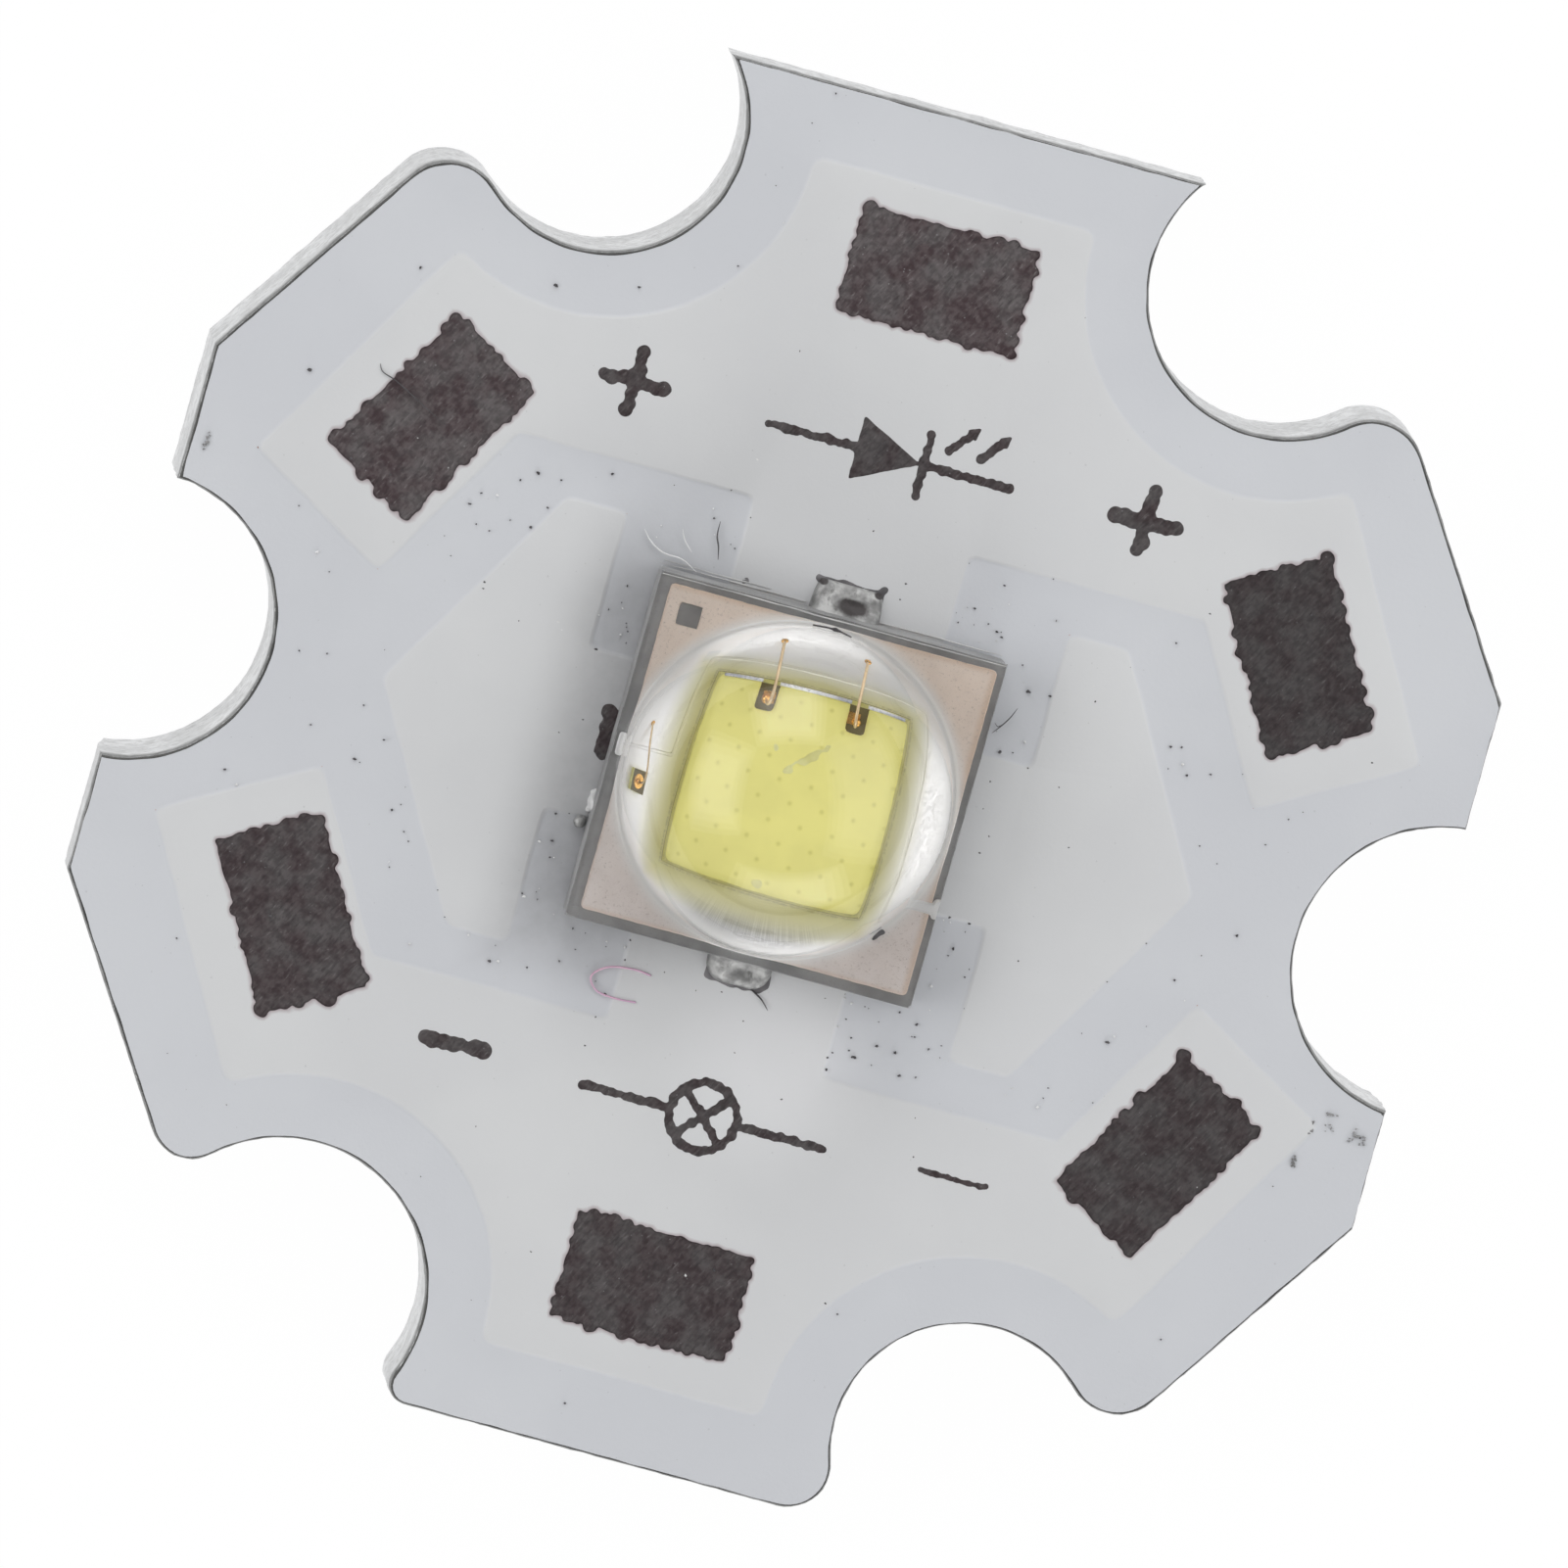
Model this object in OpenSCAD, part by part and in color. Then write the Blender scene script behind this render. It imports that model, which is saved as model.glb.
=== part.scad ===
// A high-power LED on a 20 mm star-shaped aluminium circuit board. Millimetres.
// The origin is the centre of the board's underside. +Z is the way the light leaves,
// and +Y points at the lobe that carries the middle wire pad of the positive side.

/* [Board] */
// Thickness of the aluminium core
core_thick = 1.9; // [1:0.1:2]
// Distance from the centre to each of the four slanted edges
slant_reach = 9.87; // [9.5:0.01:10.5]
// Direction that each slanted edge faces, in degrees from the sideways axis
slant_angle = 33.5; // [30:0.5:35]
// How much nearer the top and bottom edges are than the slanted ones
end_trim = 0.15; // [0.1:0.01:0.3]
// Distance from the centre to the left and right edges, which were snapped along V-cuts
side_reach = 9.34; // [9.2:0.02:9.7]
// Radius of the six screw notches
notch_r = 2; // [1.8:0.02:2.05]
// Distance from each slanted edge to the centres of the screw notches beside it
notch_inset = 1.144; // [1.05:0.002:1.25]
// How far the left and right screw notches' centres lie outside the side edges
side_notch_out = 0.08; // [-0.05:0.01:0.2]
// Radius that rounds the corners of the slanted lobes
corner_r = 0.42; // [0.2:0.02:0.5]
// Radius that rounds the corners of the bottom lobe
end_corner_r = 0.35; // [0.2:0.01:0.45]
// Depth of each V-cut, made from below
vcut_depth = 0.9; // [0.5:0.05:1.2]
// Width of the bevel that each V-cut leaves
vcut_bevel = 0.13; // [0.08:0.01:0.2]

/* [Layers] */
// Thickness of the insulating film between core and copper
film_thick = 0.08; // [0.05:0.01:0.15]
// Thickness of the copper
copper_thick = 0.035; // [0.02:0.005:0.07]
// Thickness of the white mask beside the copper
mask_thick = 0.03; // [0.015:0.005:0.035]
// Thickness of the white mask over the copper
mask_cover = 0.03; // [0.02:0.005:0.05]
// Width of the mask that covers the copper's sides
mask_skirt = 0.04; // [0.02:0.01:0.08]
// Distance that the mask stays back from the board's edge
mask_back = 0.05; // [0.02:0.01:0.1]

/* [Copper] */
// How far the copper under the slanted wire pads stays back from the slanted edges' reach
copper_back = 1.27; // [1.2:0.01:1.35]
// Depth of the copper under each slanted wire pad, from its outer edge inwards
copper_depth = 2.4; // [2.35:0.01:2.5]
// Half the width of the copper under each wire pad
copper_half = 1.93; // [1.8:0.01:2]
// Distance that the copper keeps from the wall of a screw notch
notch_clear = 0.85; // [0.7:0.01:0.9]
// Distance from the middle line to the inner edge of each track
track_gap = 3.8; // [3.7:0.02:3.9]
// Half the width of the feed from each track to the package
feed_half = 1.55; // [1.5:0.01:1.7]
// Distance from the middle line to the inner end of each feed
feed_end = 1.5; // [1.45:0.01:1.52]
// Distance from the centre to the outer corner of each thermal wing
wing_tip = 5.85; // [5.6:0.05:5.95]
// Distance from the centre to the inner edge of each thermal wing
wing_inner = 3.2; // [3.1:0.02:3.3]
// Half the height of each thermal wing
wing_half = 3.1; // [2.9:0.02:3.2]
// Half the height of the neck between the thermal wings
neck_half = 1.16; // [1.14:0.01:1.2]
// How far the copper pattern is off centre to the right
copper_shift_x = 0.03; // [0:0.01:0.05]
// How far the copper pattern is off centre to the top
copper_shift_y = 0.06; // [0.04:0.01:0.08]

/* [Wire pads] */
// Length of a wire pad over its scalloped edge
wire_pad_length = 2.65; // [2.4:0.05:2.9]
// Width of a wire pad over its scalloped edge
wire_pad_width = 1.55; // [1.4:0.05:1.65]
// Distance from the copper's outer edge to the middle of each wire pad
wire_pad_back = 1.35; // [1.25:0.01:1.4]
// Thickness of the charred layer on a wire pad
wire_pad_thick = 0.018; // [0.01:0.002:0.02]
// Radius of each scallop
scallop_r = 0.115; // [0.11:0.005:0.14]
// Distance between neighbouring scallops, about
scallop_pitch = 0.2; // [0.18:0.01:0.21]
// How far the burnt pattern is off centre to the right
mark_shift_x = 0.13; // [0:0.01:0.15]
// How far the burnt pattern is off centre to the top
mark_shift_y = 0.1; // [0:0.01:0.12]

/* [Burnt marks] */
// Thickness of a mark
mark_thick = 0.01; // [0.005:0.001:0.015]
// Size of a plus mark
plus_size = 1.06; // [0.9:0.02:1.2]
// Width of a plus mark's strokes
plus_stroke = 0.24; // [0.15:0.01:0.3]
// Distance from the middle to each plus mark, sideways
plus_x = 3.7; // [3.6:0.02:3.8]
// Distance from the track's inner edge to each plus mark
plus_in = 1.07; // [1:0.01:1.15]
// Length of a minus mark
minus_length = 1.05; // [0.9:0.01:1.2]
// Width of the left minus mark
minus_stroke = 0.25; // [0.15:0.01:0.3]
// Width of the right minus mark
thin_minus_stroke = 0.09; // [0.06:0.01:0.15]
// Distance from the middle to each minus mark, sideways
minus_x = 3.6; // [3.5:0.02:3.7]
// Distance from the track's inner edge to each minus mark
minus_in = 0.92; // [0.85:0.01:1]
// Distance from the track's inner edge to the circuit symbols
symbol_in = 1; // [0.9:0.02:1.1]
// Height of the circuit symbols
symbol_size = 1.1; // [1:0.02:1.2]
// Width of the circuit symbols' lines
symbol_stroke = 0.14; // [0.1:0.01:0.16]
// Length of the circuit symbols over their leads
symbol_length = 3.6; // [3.2:0.1:3.8]
// Length of the index bar beside the package
index_length = 0.81; // [0.6:0.01:0.9]
// Width of the index bar beside the package
index_width = 0.24; // [0.15:0.01:0.3]

/* [Package] */
// Side of the square ceramic package
package_side = 5; // [4.96:0.01:5.04]
// Thickness of the ceramic
package_thick = 0.6; // [0.4:0.05:0.8]
// How far the soldered package is off centre to the right
package_shift_x = -0.05; // [-0.06:0.01:0]
// How far the soldered package is off centre to the top
package_shift_y = 0.1; // [0.06:0.01:0.12]
// Side of the square of metal on top of the ceramic
metal_side = 4.75; // [4.7:0.01:4.8]
// Thickness of the metal on top of the ceramic
metal_thick = 0.05; // [0.03:0.01:0.08]
// Width of the filled gap that parts the two metal areas
gap_width = 0.15; // [0.1:0.01:0.18]
// Height at which the gap leaves the left edge
gap_left_y = 0.02; // [-0.05:0.01:0.05]
// Distance from the middle to the upright stretches of the gap
gap_side_x = 1.22; // [1.18:0.01:1.26]
// Height of the gap's level stretch above the die
gap_top_y = 1.2; // [1.16:0.01:1.24]
// Height at which the gap reaches the right edge
gap_right_y = -1.1; // [-1.2:0.01:-1]
// Side of the square polarity hole in the metal
polarity_side = 0.32; // [0.25:0.01:0.4]
// Thickness of the solder under the package
solder_thick = 0.05; // [0.04:0.01:0.08]
// Thickness of the metal lands under the ceramic
land_thick = 0.04; // [0.02:0.01:0.06]
// Length of the two electrical lands
land_length = 2.9; // [2.6:0.05:2.9]
// Width of the two electrical lands
land_width = 0.85; // [0.75:0.01:0.86]
// Distance from the package's middle to the middle of each electrical land
land_y = 2; // [1.99:0.005:2.02]
// Length of the thermal land
thermal_length = 4.4; // [4.2:0.05:4.6]
// Width of the thermal land
thermal_width = 2.1; // [1.9:0.02:2.1]
// Radius of the vias through the ceramic
via_r = 0.075; // [0.05:0.005:0.1]
// Distance from the package's middle to each via, sideways
via_x = 0.9; // [0.6:0.05:1.2]
// Gap between the mask and the solder
window_gap = 0.03; // [0.01:0.01:0.03]
// Width of the solder fillets beside the package
fillet_width = 0.96; // [0.8:0.02:1.1]
// How far the upper solder fillet reaches out from the package
anode_fillet = 0.44; // [0.3:0.02:0.5]
// How far the lower solder fillet reaches out from the package
cathode_fillet = 0.36; // [0.3:0.02:0.5]
// Height of the solder fillets where they meet the package
fillet_rise = 0.3; // [0.15:0.01:0.4]
// Radius of the stray ball of solder at the package's lower left
stray_ball_r = 0.09; // [0.06:0.005:0.1]

/* [Die] */
// Side of the square die
die_side = 2.05; // [1.95:0.01:2.1]
// Thickness of the die
die_thick = 0.14; // [0.1:0.01:0.2]
// Thickness of the solder under the die
attach_thick = 0.015; // [0.01:0.001:0.03]
// Thickness of the phosphor layer on the die
phosphor_thick = 0.05; // [0.03:0.005:0.08]
// Distance from the middle to each bond pad, sideways
bond_pad_x = 0.44; // [0.4:0.01:0.6]
// Side of each bond pad
bond_pad_side = 0.13; // [0.11:0.01:0.15]
// Thickness of each bond pad
bond_pad_thick = 0.01; // [0.005:0.001:0.015]
// Width of the openings in the phosphor layer over the bond pads
opening_width = 0.19; // [0.17:0.01:0.22]
// Length of the openings in the phosphor layer over the bond pads
opening_length = 0.29; // [0.25:0.01:0.32]
// Radius of a bond wire
wire_r = 0.022; // [0.015:0.001:0.025]
// Distance from the middle to where the bond wires land, upwards
landing_y = 1.485; // [1.44:0.005:1.5]
// Radius of a bond wire's bend
wire_bend = 0.13; // [0.11:0.005:0.14]
// Slope of a bond wire's straight stretch, in degrees
wire_slope = 40; // [38:1:45]
// Side of the square protection diode
guard_side = 0.25; // [0.2:0.01:0.3]
// Thickness of the protection diode
guard_thick = 0.1; // [0.08:0.01:0.15]
// Radius of the protection diode's wire
guard_wire_r = 0.014; // [0.01:0.001:0.016]

/* [Lens] */
// Radius of the silicone dome
dome_r = 2.33; // [2.25:0.01:2.4]
// Thickness of the silicone film over the metal
skin_thick = 0.05; // [0.03:0.01:0.08]

/* [Hidden] */
$fn = 96;
small_fn = 32;

// Heights of the layers' faces, from the underside up
copper_z = core_thick + film_thick;
copper_top = copper_z + copper_thick;
mask_top = copper_top + mask_cover;
low_mask_top = copper_z + mask_thick;
land_z = copper_top + solder_thick;
ceramic_z = land_z + land_thick;
metal_z = ceramic_z + package_thick;
metal_top = metal_z + metal_thick;
skin_top = metal_top + skin_thick;
die_z = metal_top + attach_thick;
die_top = die_z + die_thick;
bond_pad_top = die_top + bond_pad_thick;
guard_top = metal_top + guard_thick;

// Places on the board
end_reach = slant_reach - end_trim;
notch_ring = (slant_reach - notch_inset) / cos(60 - slant_angle);
notch_x = notch_ring * cos(60);
notch_y = notch_ring * sin(60);
side_notch_ring = side_reach + side_notch_out;
copper_reach = slant_reach - copper_back;
copper_inner = copper_reach - copper_depth;
notch_clear_r = notch_r + notch_clear;
wire_pad_ring = copper_reach - wire_pad_back;
plus_y = track_gap + plus_in;
minus_y = track_gap + minus_in;
symbol_y = track_gap + symbol_in;

// Places in the package
package_half = package_side / 2;
metal_half = metal_side / 2;
bond_pad_y = die_side / 2 - opening_length / 2;
polarity_at = [-2, 1.975];
guard_at = [-1.6, -0.33];
guard_landing = [-1.6, 0.32];
stray_ball_at = [-2.68, -1.28];
index_x = -2.58;
index_y = 0.12;
ball_h = 0.025;
stitch_h = 0.03;
guard_bend = 0.1;
bend_steps = 5;
wire_sides = 8;
foot_share = 1.6;
corner_steps = 10;
fillet_toe = 0.05;
fillet_root = 0.1;
gap_end_length = 0.34;
cut_length = 3 * slant_reach;

// The lobe's corner between a straight edge and a screw notch, less its rounded form.
// The notch's centre is at the origin, and the edge runs along +X at the height gap.
module corner_trim(gap, hole, round) {
    rise = gap - round;
    along = sqrt(pow(hole + round, 2) - pow(rise, 2));
    sweep = 90 + atan2(rise, along);
    rounded = [
        for (i = [0 : corner_steps])
            [along, rise] + round * [cos(90 + sweep * i / corner_steps), sin(90 + sweep * i / corner_steps)]
    ];
    past_edge = 2 * rounded[0] - rounded[1];
    past_notch = 2 * rounded[corner_steps] - rounded[corner_steps - 1];
    polygon(concat(
        [[0, 0], [0, gap + hole], [past_edge.x, gap + hole], past_edge],
        [for (i = [1 : corner_steps - 1]) rounded[i]],
        [past_notch]
    ));
}

// The star outline, moved in by back
module board_outline(back = 0) {
    difference() {
        intersection() {
            rotate(slant_angle) square([2 * (slant_reach - back), cut_length], center = true);
            rotate(-slant_angle) square([2 * (slant_reach - back), cut_length], center = true);
            square([2 * (side_reach - back), 2 * (end_reach - back)], center = true);
        }
        for (side = [-1, 1]) {
            translate([side * side_notch_ring, 0]) circle(r = notch_r + back);
            for (end = [-1, 1])
                translate([side * notch_x, end * notch_y]) circle(r = notch_r + back);
        }
        for (side = [0, 1]) mirror([side, 0, 0]) {
            for (end = [0, 1]) mirror([0, end, 0])
                translate([notch_x, notch_y]) rotate(slant_angle - 90)
                    corner_trim(notch_inset - back, notch_r + back, corner_r - back);
            mirror([0, 1, 0]) translate([notch_x, notch_y]) mirror([1, 0, 0])
                corner_trim(end_reach - notch_y - back, notch_r + back, end_corner_r - back);
        }
    }
}

// What the V-cut takes off one edge from below, with the edge at X = reach
module vcut(reach) {
    translate([reach, 0, 0]) rotate([90, 0, 0]) linear_extrude(height = cut_length, center = true)
        polygon([[-vcut_bevel, 0], [-vcut_bevel, -1], [1, -1], [1, vcut_depth], [0, vcut_depth]]);
}

module base_plate() {
    color("silver") difference() {
        linear_extrude(height = core_thick) board_outline();
        vcut(side_reach);
        mirror([1, 0, 0]) vcut(side_reach);
        rotate(90) vcut(end_reach);
    }
}

module dielectric_film() {
    color("gainsboro") translate([0, 0, core_thick])
        linear_extrude(height = film_thick) board_outline();
}

module on_copper_pattern() {
    translate([copper_shift_x, copper_shift_y, 0]) children();
}

// One track: the copper of three wire pads, the bridges between them and the feed
module track_shape(grow = 0) {
    half = copper_half + grow;
    low = track_gap - grow;
    reach = copper_reach + grow;
    inner = copper_inner - grow;
    lobe_corner = [reach * sin(60) - half * cos(60), reach * cos(60) + half * sin(60)];
    difference() {
        union() {
            translate([-half, low]) square([2 * half, reach - low]);
            translate([-feed_half - grow, feed_end - grow])
                square([2 * (feed_half + grow), track_gap - feed_end + 0.2]);
            for (side = [0, 1]) mirror([side, 0, 0]) {
                rotate(-60) translate([-half, inner]) square([2 * half, reach - inner]);
                polygon([[0, low], [(inner - low * sin(30)) / cos(30), low], lobe_corner, [half, reach], [0, reach]]);
            }
        }
        for (side = [-1, 1])
            translate([side * notch_x, notch_y]) circle(r = notch_clear_r - grow);
    }
}

// The thermal copper: a wing each side and the neck that joins them under the package
module thermal_shape(grow = 0) {
    tip = wing_tip + grow / cos(30);
    half = wing_half + grow;
    shoulder = tip - half * tan(30);
    inner = wing_inner - grow;
    neck = neck_half + grow;
    right = [[inner, -neck], [inner, -half], [shoulder, -half], [tip, 0], [shoulder, half], [inner, half], [inner, neck]];
    polygon(concat(right, [for (i = [len(right) - 1 : -1 : 0]) [-right[i].x, right[i].y]]));
}

module copper_pattern(grow = 0) {
    on_copper_pattern() {
        track_shape(grow);
        mirror([0, 1, 0]) track_shape(grow);
        thermal_shape(grow);
    }
}

module anode_track() {
    color("peru") translate([0, 0, copper_z]) linear_extrude(height = copper_thick)
        on_copper_pattern() track_shape();
}

module cathode_track() {
    color("peru") translate([0, 0, copper_z]) linear_extrude(height = copper_thick)
        on_copper_pattern() mirror([0, 1, 0]) track_shape();
}

module thermal_track() {
    color("peru") translate([0, 0, copper_z]) linear_extrude(height = copper_thick)
        on_copper_pattern() thermal_shape();
}

// A rectangle whose edge is a row of overlapping burnt spots
module scalloped_shape() {
    across = wire_pad_length / 2 - scallop_r;
    up = wire_pad_width / 2 - scallop_r;
    columns = round(2 * across / scallop_pitch);
    rows = round(2 * up / scallop_pitch);
    square([2 * across, 2 * up], center = true);
    for (side = [-1, 1]) {
        for (i = [0 : columns])
            translate([across * (2 * i / columns - 1), side * up]) circle(r = scallop_r, $fn = small_fn);
        for (i = [1 : rows - 1])
            translate([side * across, up * (2 * i / rows - 1)]) circle(r = scallop_r, $fn = small_fn);
    }
}

// One wire pad's shape, on the lobe at the given angle from the top
module wire_pad_shape(lobe) {
    translate([mark_shift_x, mark_shift_y]) rotate(lobe) translate([0, wire_pad_ring]) scalloped_shape();
}

module wire_pad(lobe) {
    color("saddlebrown") translate([0, 0, copper_top])
        linear_extrude(height = wire_pad_thick) wire_pad_shape(lobe);
}

module on_package() {
    translate([package_shift_x, package_shift_y, 0]) children();
}

// The footprint of the solder on one electrical land, with its fillet beside the package
module solder_shape(fillet, grow = 0) {
    translate([0, land_y]) square([land_length + 2 * grow, land_width + 2 * grow], center = true);
    translate([-fillet_width / 2 - grow, land_y])
        square([fillet_width + 2 * grow, package_half + fillet + grow - land_y]);
}

// The white mask: a thin coat on the film, raised where it covers the copper
module solder_mask() {
    color("white") difference() {
        union() {
            translate([0, 0, copper_z]) linear_extrude(height = mask_thick)
                board_outline(mask_back);
            translate([0, 0, copper_z]) linear_extrude(height = mask_top - copper_z)
                copper_pattern(mask_skirt);
        }
        translate([0, 0, copper_z - 1]) linear_extrude(height = copper_thick + 1) copper_pattern();
        translate([0, 0, copper_z]) linear_extrude(height = 1) {
            for (lobe = [0 : 60 : 300]) wire_pad_shape(lobe);
            on_package() {
                solder_shape(anode_fillet, window_gap);
                mirror([0, 1, 0]) solder_shape(cathode_fillet, window_gap);
                square([thermal_length + 2 * window_gap, thermal_width + 2 * window_gap], center = true);
            }
        }
    }
}

module on_mask(x, y) {
    translate([mark_shift_x + x, mark_shift_y + y, mask_top]) linear_extrude(height = mark_thick) children();
}

module plus_mark(side) {
    color("saddlebrown") on_mask(side * plus_x, plus_y) {
        square([plus_size, plus_stroke], center = true);
        square([plus_stroke, plus_size], center = true);
    }
}

module minus_mark(side, stroke) {
    color("saddlebrown") on_mask(side * minus_x, -minus_y)
        square([minus_length, stroke], center = true);
}

// A straight stroke from one point to another
module stroke(from, to) {
    run = to - from;
    translate(from) rotate(atan2(run.y, run.x)) translate([0, -symbol_stroke / 2])
        square([norm(run), symbol_stroke]);
}

// The circuit symbol of a light-emitting diode
module diode_symbol() {
    body = 0.45 * symbol_size;
    lead = symbol_length / 2;
    color("saddlebrown") on_mask(0, symbol_y) {
        stroke([-lead, 0], [-0.9 * body, 0]);
        stroke([body, 0], [lead, 0]);
        stroke([body, -body], [body, body]);
        polygon([[-body, -body], [body, 0], [-body, body]]);
        for (ray = [1.6, 2.5]) translate([ray * body, 0.6 * body]) rotate(50) {
            stroke([0, 0], [0.8 * body, 0]);
            polygon([[0.7 * body, -0.28 * body], [1.2 * body, 0], [0.7 * body, 0.28 * body]]);
        }
    }
}

// The circuit symbol of a lamp
module lamp_symbol() {
    ring = symbol_size / 2;
    inside = ring - symbol_stroke / 2;
    color("saddlebrown") on_mask(0, -symbol_y) {
        difference() {
            circle(r = ring);
            circle(r = ring - symbol_stroke);
        }
        for (turn = [45, 135]) rotate(turn) stroke([-inside, 0], [inside, 0]);
        for (side = [0, 180]) rotate(side) stroke([inside, 0], [symbol_length / 2, 0]);
    }
}

module index_bar() {
    color("saddlebrown") translate([index_x, index_y, mask_top]) linear_extrude(height = mark_thick)
        square([index_width, index_length], center = true);
}

// The solder of one electrical land: a flat joint and a fillet that leans on the package
module land_solder(fillet) {
    land_edge = land_y + land_width / 2;
    translate([0, land_y, copper_top]) linear_extrude(height = solder_thick)
        square([land_length, land_width], center = true);
    rotate([90, 0, 90]) linear_extrude(height = fillet_width, center = true)
        polygon([
            [land_edge - fillet_root, copper_top], [package_half + fillet, copper_top],
            [package_half + fillet - fillet_toe, copper_top + fillet_toe],
            [package_half, ceramic_z + fillet_rise], [package_half, land_z], [land_edge - fillet_root, land_z]
        ]);
}

module anode_solder() {
    color("lightgray") on_package() land_solder(anode_fillet);
}

module cathode_solder() {
    color("lightgray") on_package() mirror([0, 1, 0]) land_solder(cathode_fillet);
}

module thermal_solder() {
    color("lightgray") on_package() translate([0, 0, copper_top]) linear_extrude(height = solder_thick)
        square([thermal_length, thermal_width], center = true);
}

module stray_solder_ball() {
    color("lightgray") intersection() {
        translate([stray_ball_at.x, stray_ball_at.y, low_mask_top + 0.9 * stray_ball_r])
            sphere(r = stray_ball_r, $fn = small_fn);
        translate([stray_ball_at.x, stray_ball_at.y, low_mask_top + 0.5]) cube(1, center = true);
    }
}

module electrical_land() {
    color("gold") translate([0, land_y, land_z]) linear_extrude(height = land_thick)
        square([land_length, land_width], center = true);
}

module anode_land() {
    on_package() electrical_land();
}

module cathode_land() {
    on_package() mirror([0, 1, 0]) electrical_land();
}

module thermal_land() {
    color("gold") on_package() translate([0, 0, land_z]) linear_extrude(height = land_thick)
        square([thermal_length, thermal_width], center = true);
}

// The two vias that join one electrical land to the metal above it
module via_pair() {
    color("gold") for (side = [-1, 1])
        translate([side * via_x, land_y, ceramic_z]) cylinder(h = package_thick, r = via_r, $fn = small_fn);
}

module anode_vias() {
    on_package() via_pair();
}

module cathode_vias() {
    on_package() mirror([0, 1, 0]) via_pair();
}

module ceramic_substrate() {
    color("lightgray") difference() {
        on_package() translate([0, 0, ceramic_z]) linear_extrude(height = package_thick)
            square(package_side, center = true);
        anode_vias();
        cathode_vias();
    }
}

// The corner of the metal that carries the die, up to the gap's middle line plus grow
module die_side_shape(grow) {
    intersection() {
        square(metal_side, center = true);
        union() {
            translate([-metal_side, -metal_side])
                square([metal_side + gap_side_x + grow, metal_side + gap_left_y + grow]);
            translate([-gap_side_x - grow, -metal_side])
                square([2 * (gap_side_x + grow), metal_side + gap_top_y + grow]);
            translate([0, -metal_side]) square([metal_side, metal_side + gap_right_y + grow]);
        }
    }
}

module polarity_hole() {
    translate(polarity_at) square(polarity_side, center = true);
}

module wire_bond_metal() {
    color("wheat") on_package() translate([0, 0, metal_z]) linear_extrude(height = metal_thick) difference() {
        square(metal_side, center = true);
        die_side_shape(gap_width / 2);
        polarity_hole();
    }
}

module die_attach_metal() {
    color("wheat") on_package() translate([0, 0, metal_z]) linear_extrude(height = metal_thick)
        die_side_shape(-gap_width / 2);
}

// Where the gap's filling swells out onto the ceramic's border, at both ends of the gap
module gap_ends() {
    border = package_half - metal_half;
    translate([-package_half, gap_left_y - gap_end_length / 2]) square([border, gap_end_length]);
    translate([metal_half, gap_right_y - gap_end_length / 2]) square([border, gap_end_length]);
}

module metal_gap_fill() {
    color("ivory") on_package() translate([0, 0, metal_z]) linear_extrude(height = metal_thick) {
        difference() {
            die_side_shape(gap_width / 2);
            die_side_shape(-gap_width / 2);
        }
        gap_ends();
    }
}

module die_attach_solder() {
    color("goldenrod") on_package() translate([0, 0, metal_top]) linear_extrude(height = attach_thick)
        square(die_side, center = true);
}

module led_die() {
    color("slategray") on_package() translate([0, 0, die_z]) linear_extrude(height = die_thick)
        square(die_side, center = true);
}

module phosphor_layer() {
    color("khaki") on_package() translate([0, 0, die_top]) linear_extrude(height = phosphor_thick) difference() {
        square(die_side, center = true);
        for (side = [-1, 1])
            translate([side * bond_pad_x - opening_width / 2, die_side / 2 - opening_length])
                square([opening_width, opening_length + 1]);
    }
}

module bond_pad(side) {
    color("gold") on_package() translate([side * bond_pad_x, bond_pad_y, die_top])
        linear_extrude(height = bond_pad_thick) square(bond_pad_side, center = true);
}

// One ring of corner points round a wire: at is the distance along the wire and the height,
// aim is the wire's slope there in degrees, and r its radius
function wire_ring(at, aim, r) = [
    for (i = [0 : wire_sides - 1])
        [at.x - r * sin(360 * i / wire_sides) * sin(aim),
         r * cos(360 * i / wire_sides),
         at.y + r * sin(360 * i / wire_sides) * cos(aim)]
];

// A wire from a ball on the point from, at from_z, up, over a bend and down a slope to a stitch
module arched_wire(from, from_z, to, to_z, r, bend) {
    run = to - from;
    turn = 90 + wire_slope;
    reach = norm(run);
    foot = [reach - 1.5 * r, to_z + stitch_h + 1.2 * r];
    slope_length = (foot.x - bend * (1 - cos(turn))) / cos(wire_slope);
    bend_z = foot.y - bend * sin(turn) + slope_length * sin(wire_slope);
    rings = concat(
        [
            wire_ring([0, from_z], 90, foot_share * r),
            wire_ring([0, from_z + ball_h], 90, foot_share * r),
            wire_ring([0, from_z + ball_h + r / 4], 90, r)
        ],
        [
            for (i = [0 : bend_steps])
                wire_ring([bend * (1 - cos(turn * i / bend_steps)), bend_z + bend * sin(turn * i / bend_steps)],
                    90 - turn * i / bend_steps, r)
        ],
        [
            wire_ring(foot, -wire_slope, r),
            wire_ring([reach, to_z + stitch_h], -90, foot_share * r),
            wire_ring([reach, to_z], -90, foot_share * r)
        ]
    );
    last = (len(rings) - 1) * wire_sides;
    points = [for (ring = rings) for (corner = ring) corner];
    sides = [
        for (base = [0 : wire_sides : last - wire_sides]) for (i = [0 : wire_sides - 1])
            for (half = [0, 1])
                [base + i, base + wire_sides + (i + half) % wire_sides,
                 base + (1 - half) * wire_sides + (i + 1) % wire_sides]
    ];
    translate([from.x, from.y, 0]) rotate(atan2(run.y, run.x))
        polyhedron(points, concat(
            [[for (i = [0 : wire_sides - 1]) i]],
            sides,
            [[for (i = [wire_sides - 1 : -1 : 0]) last + i]]
        ));
}

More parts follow.
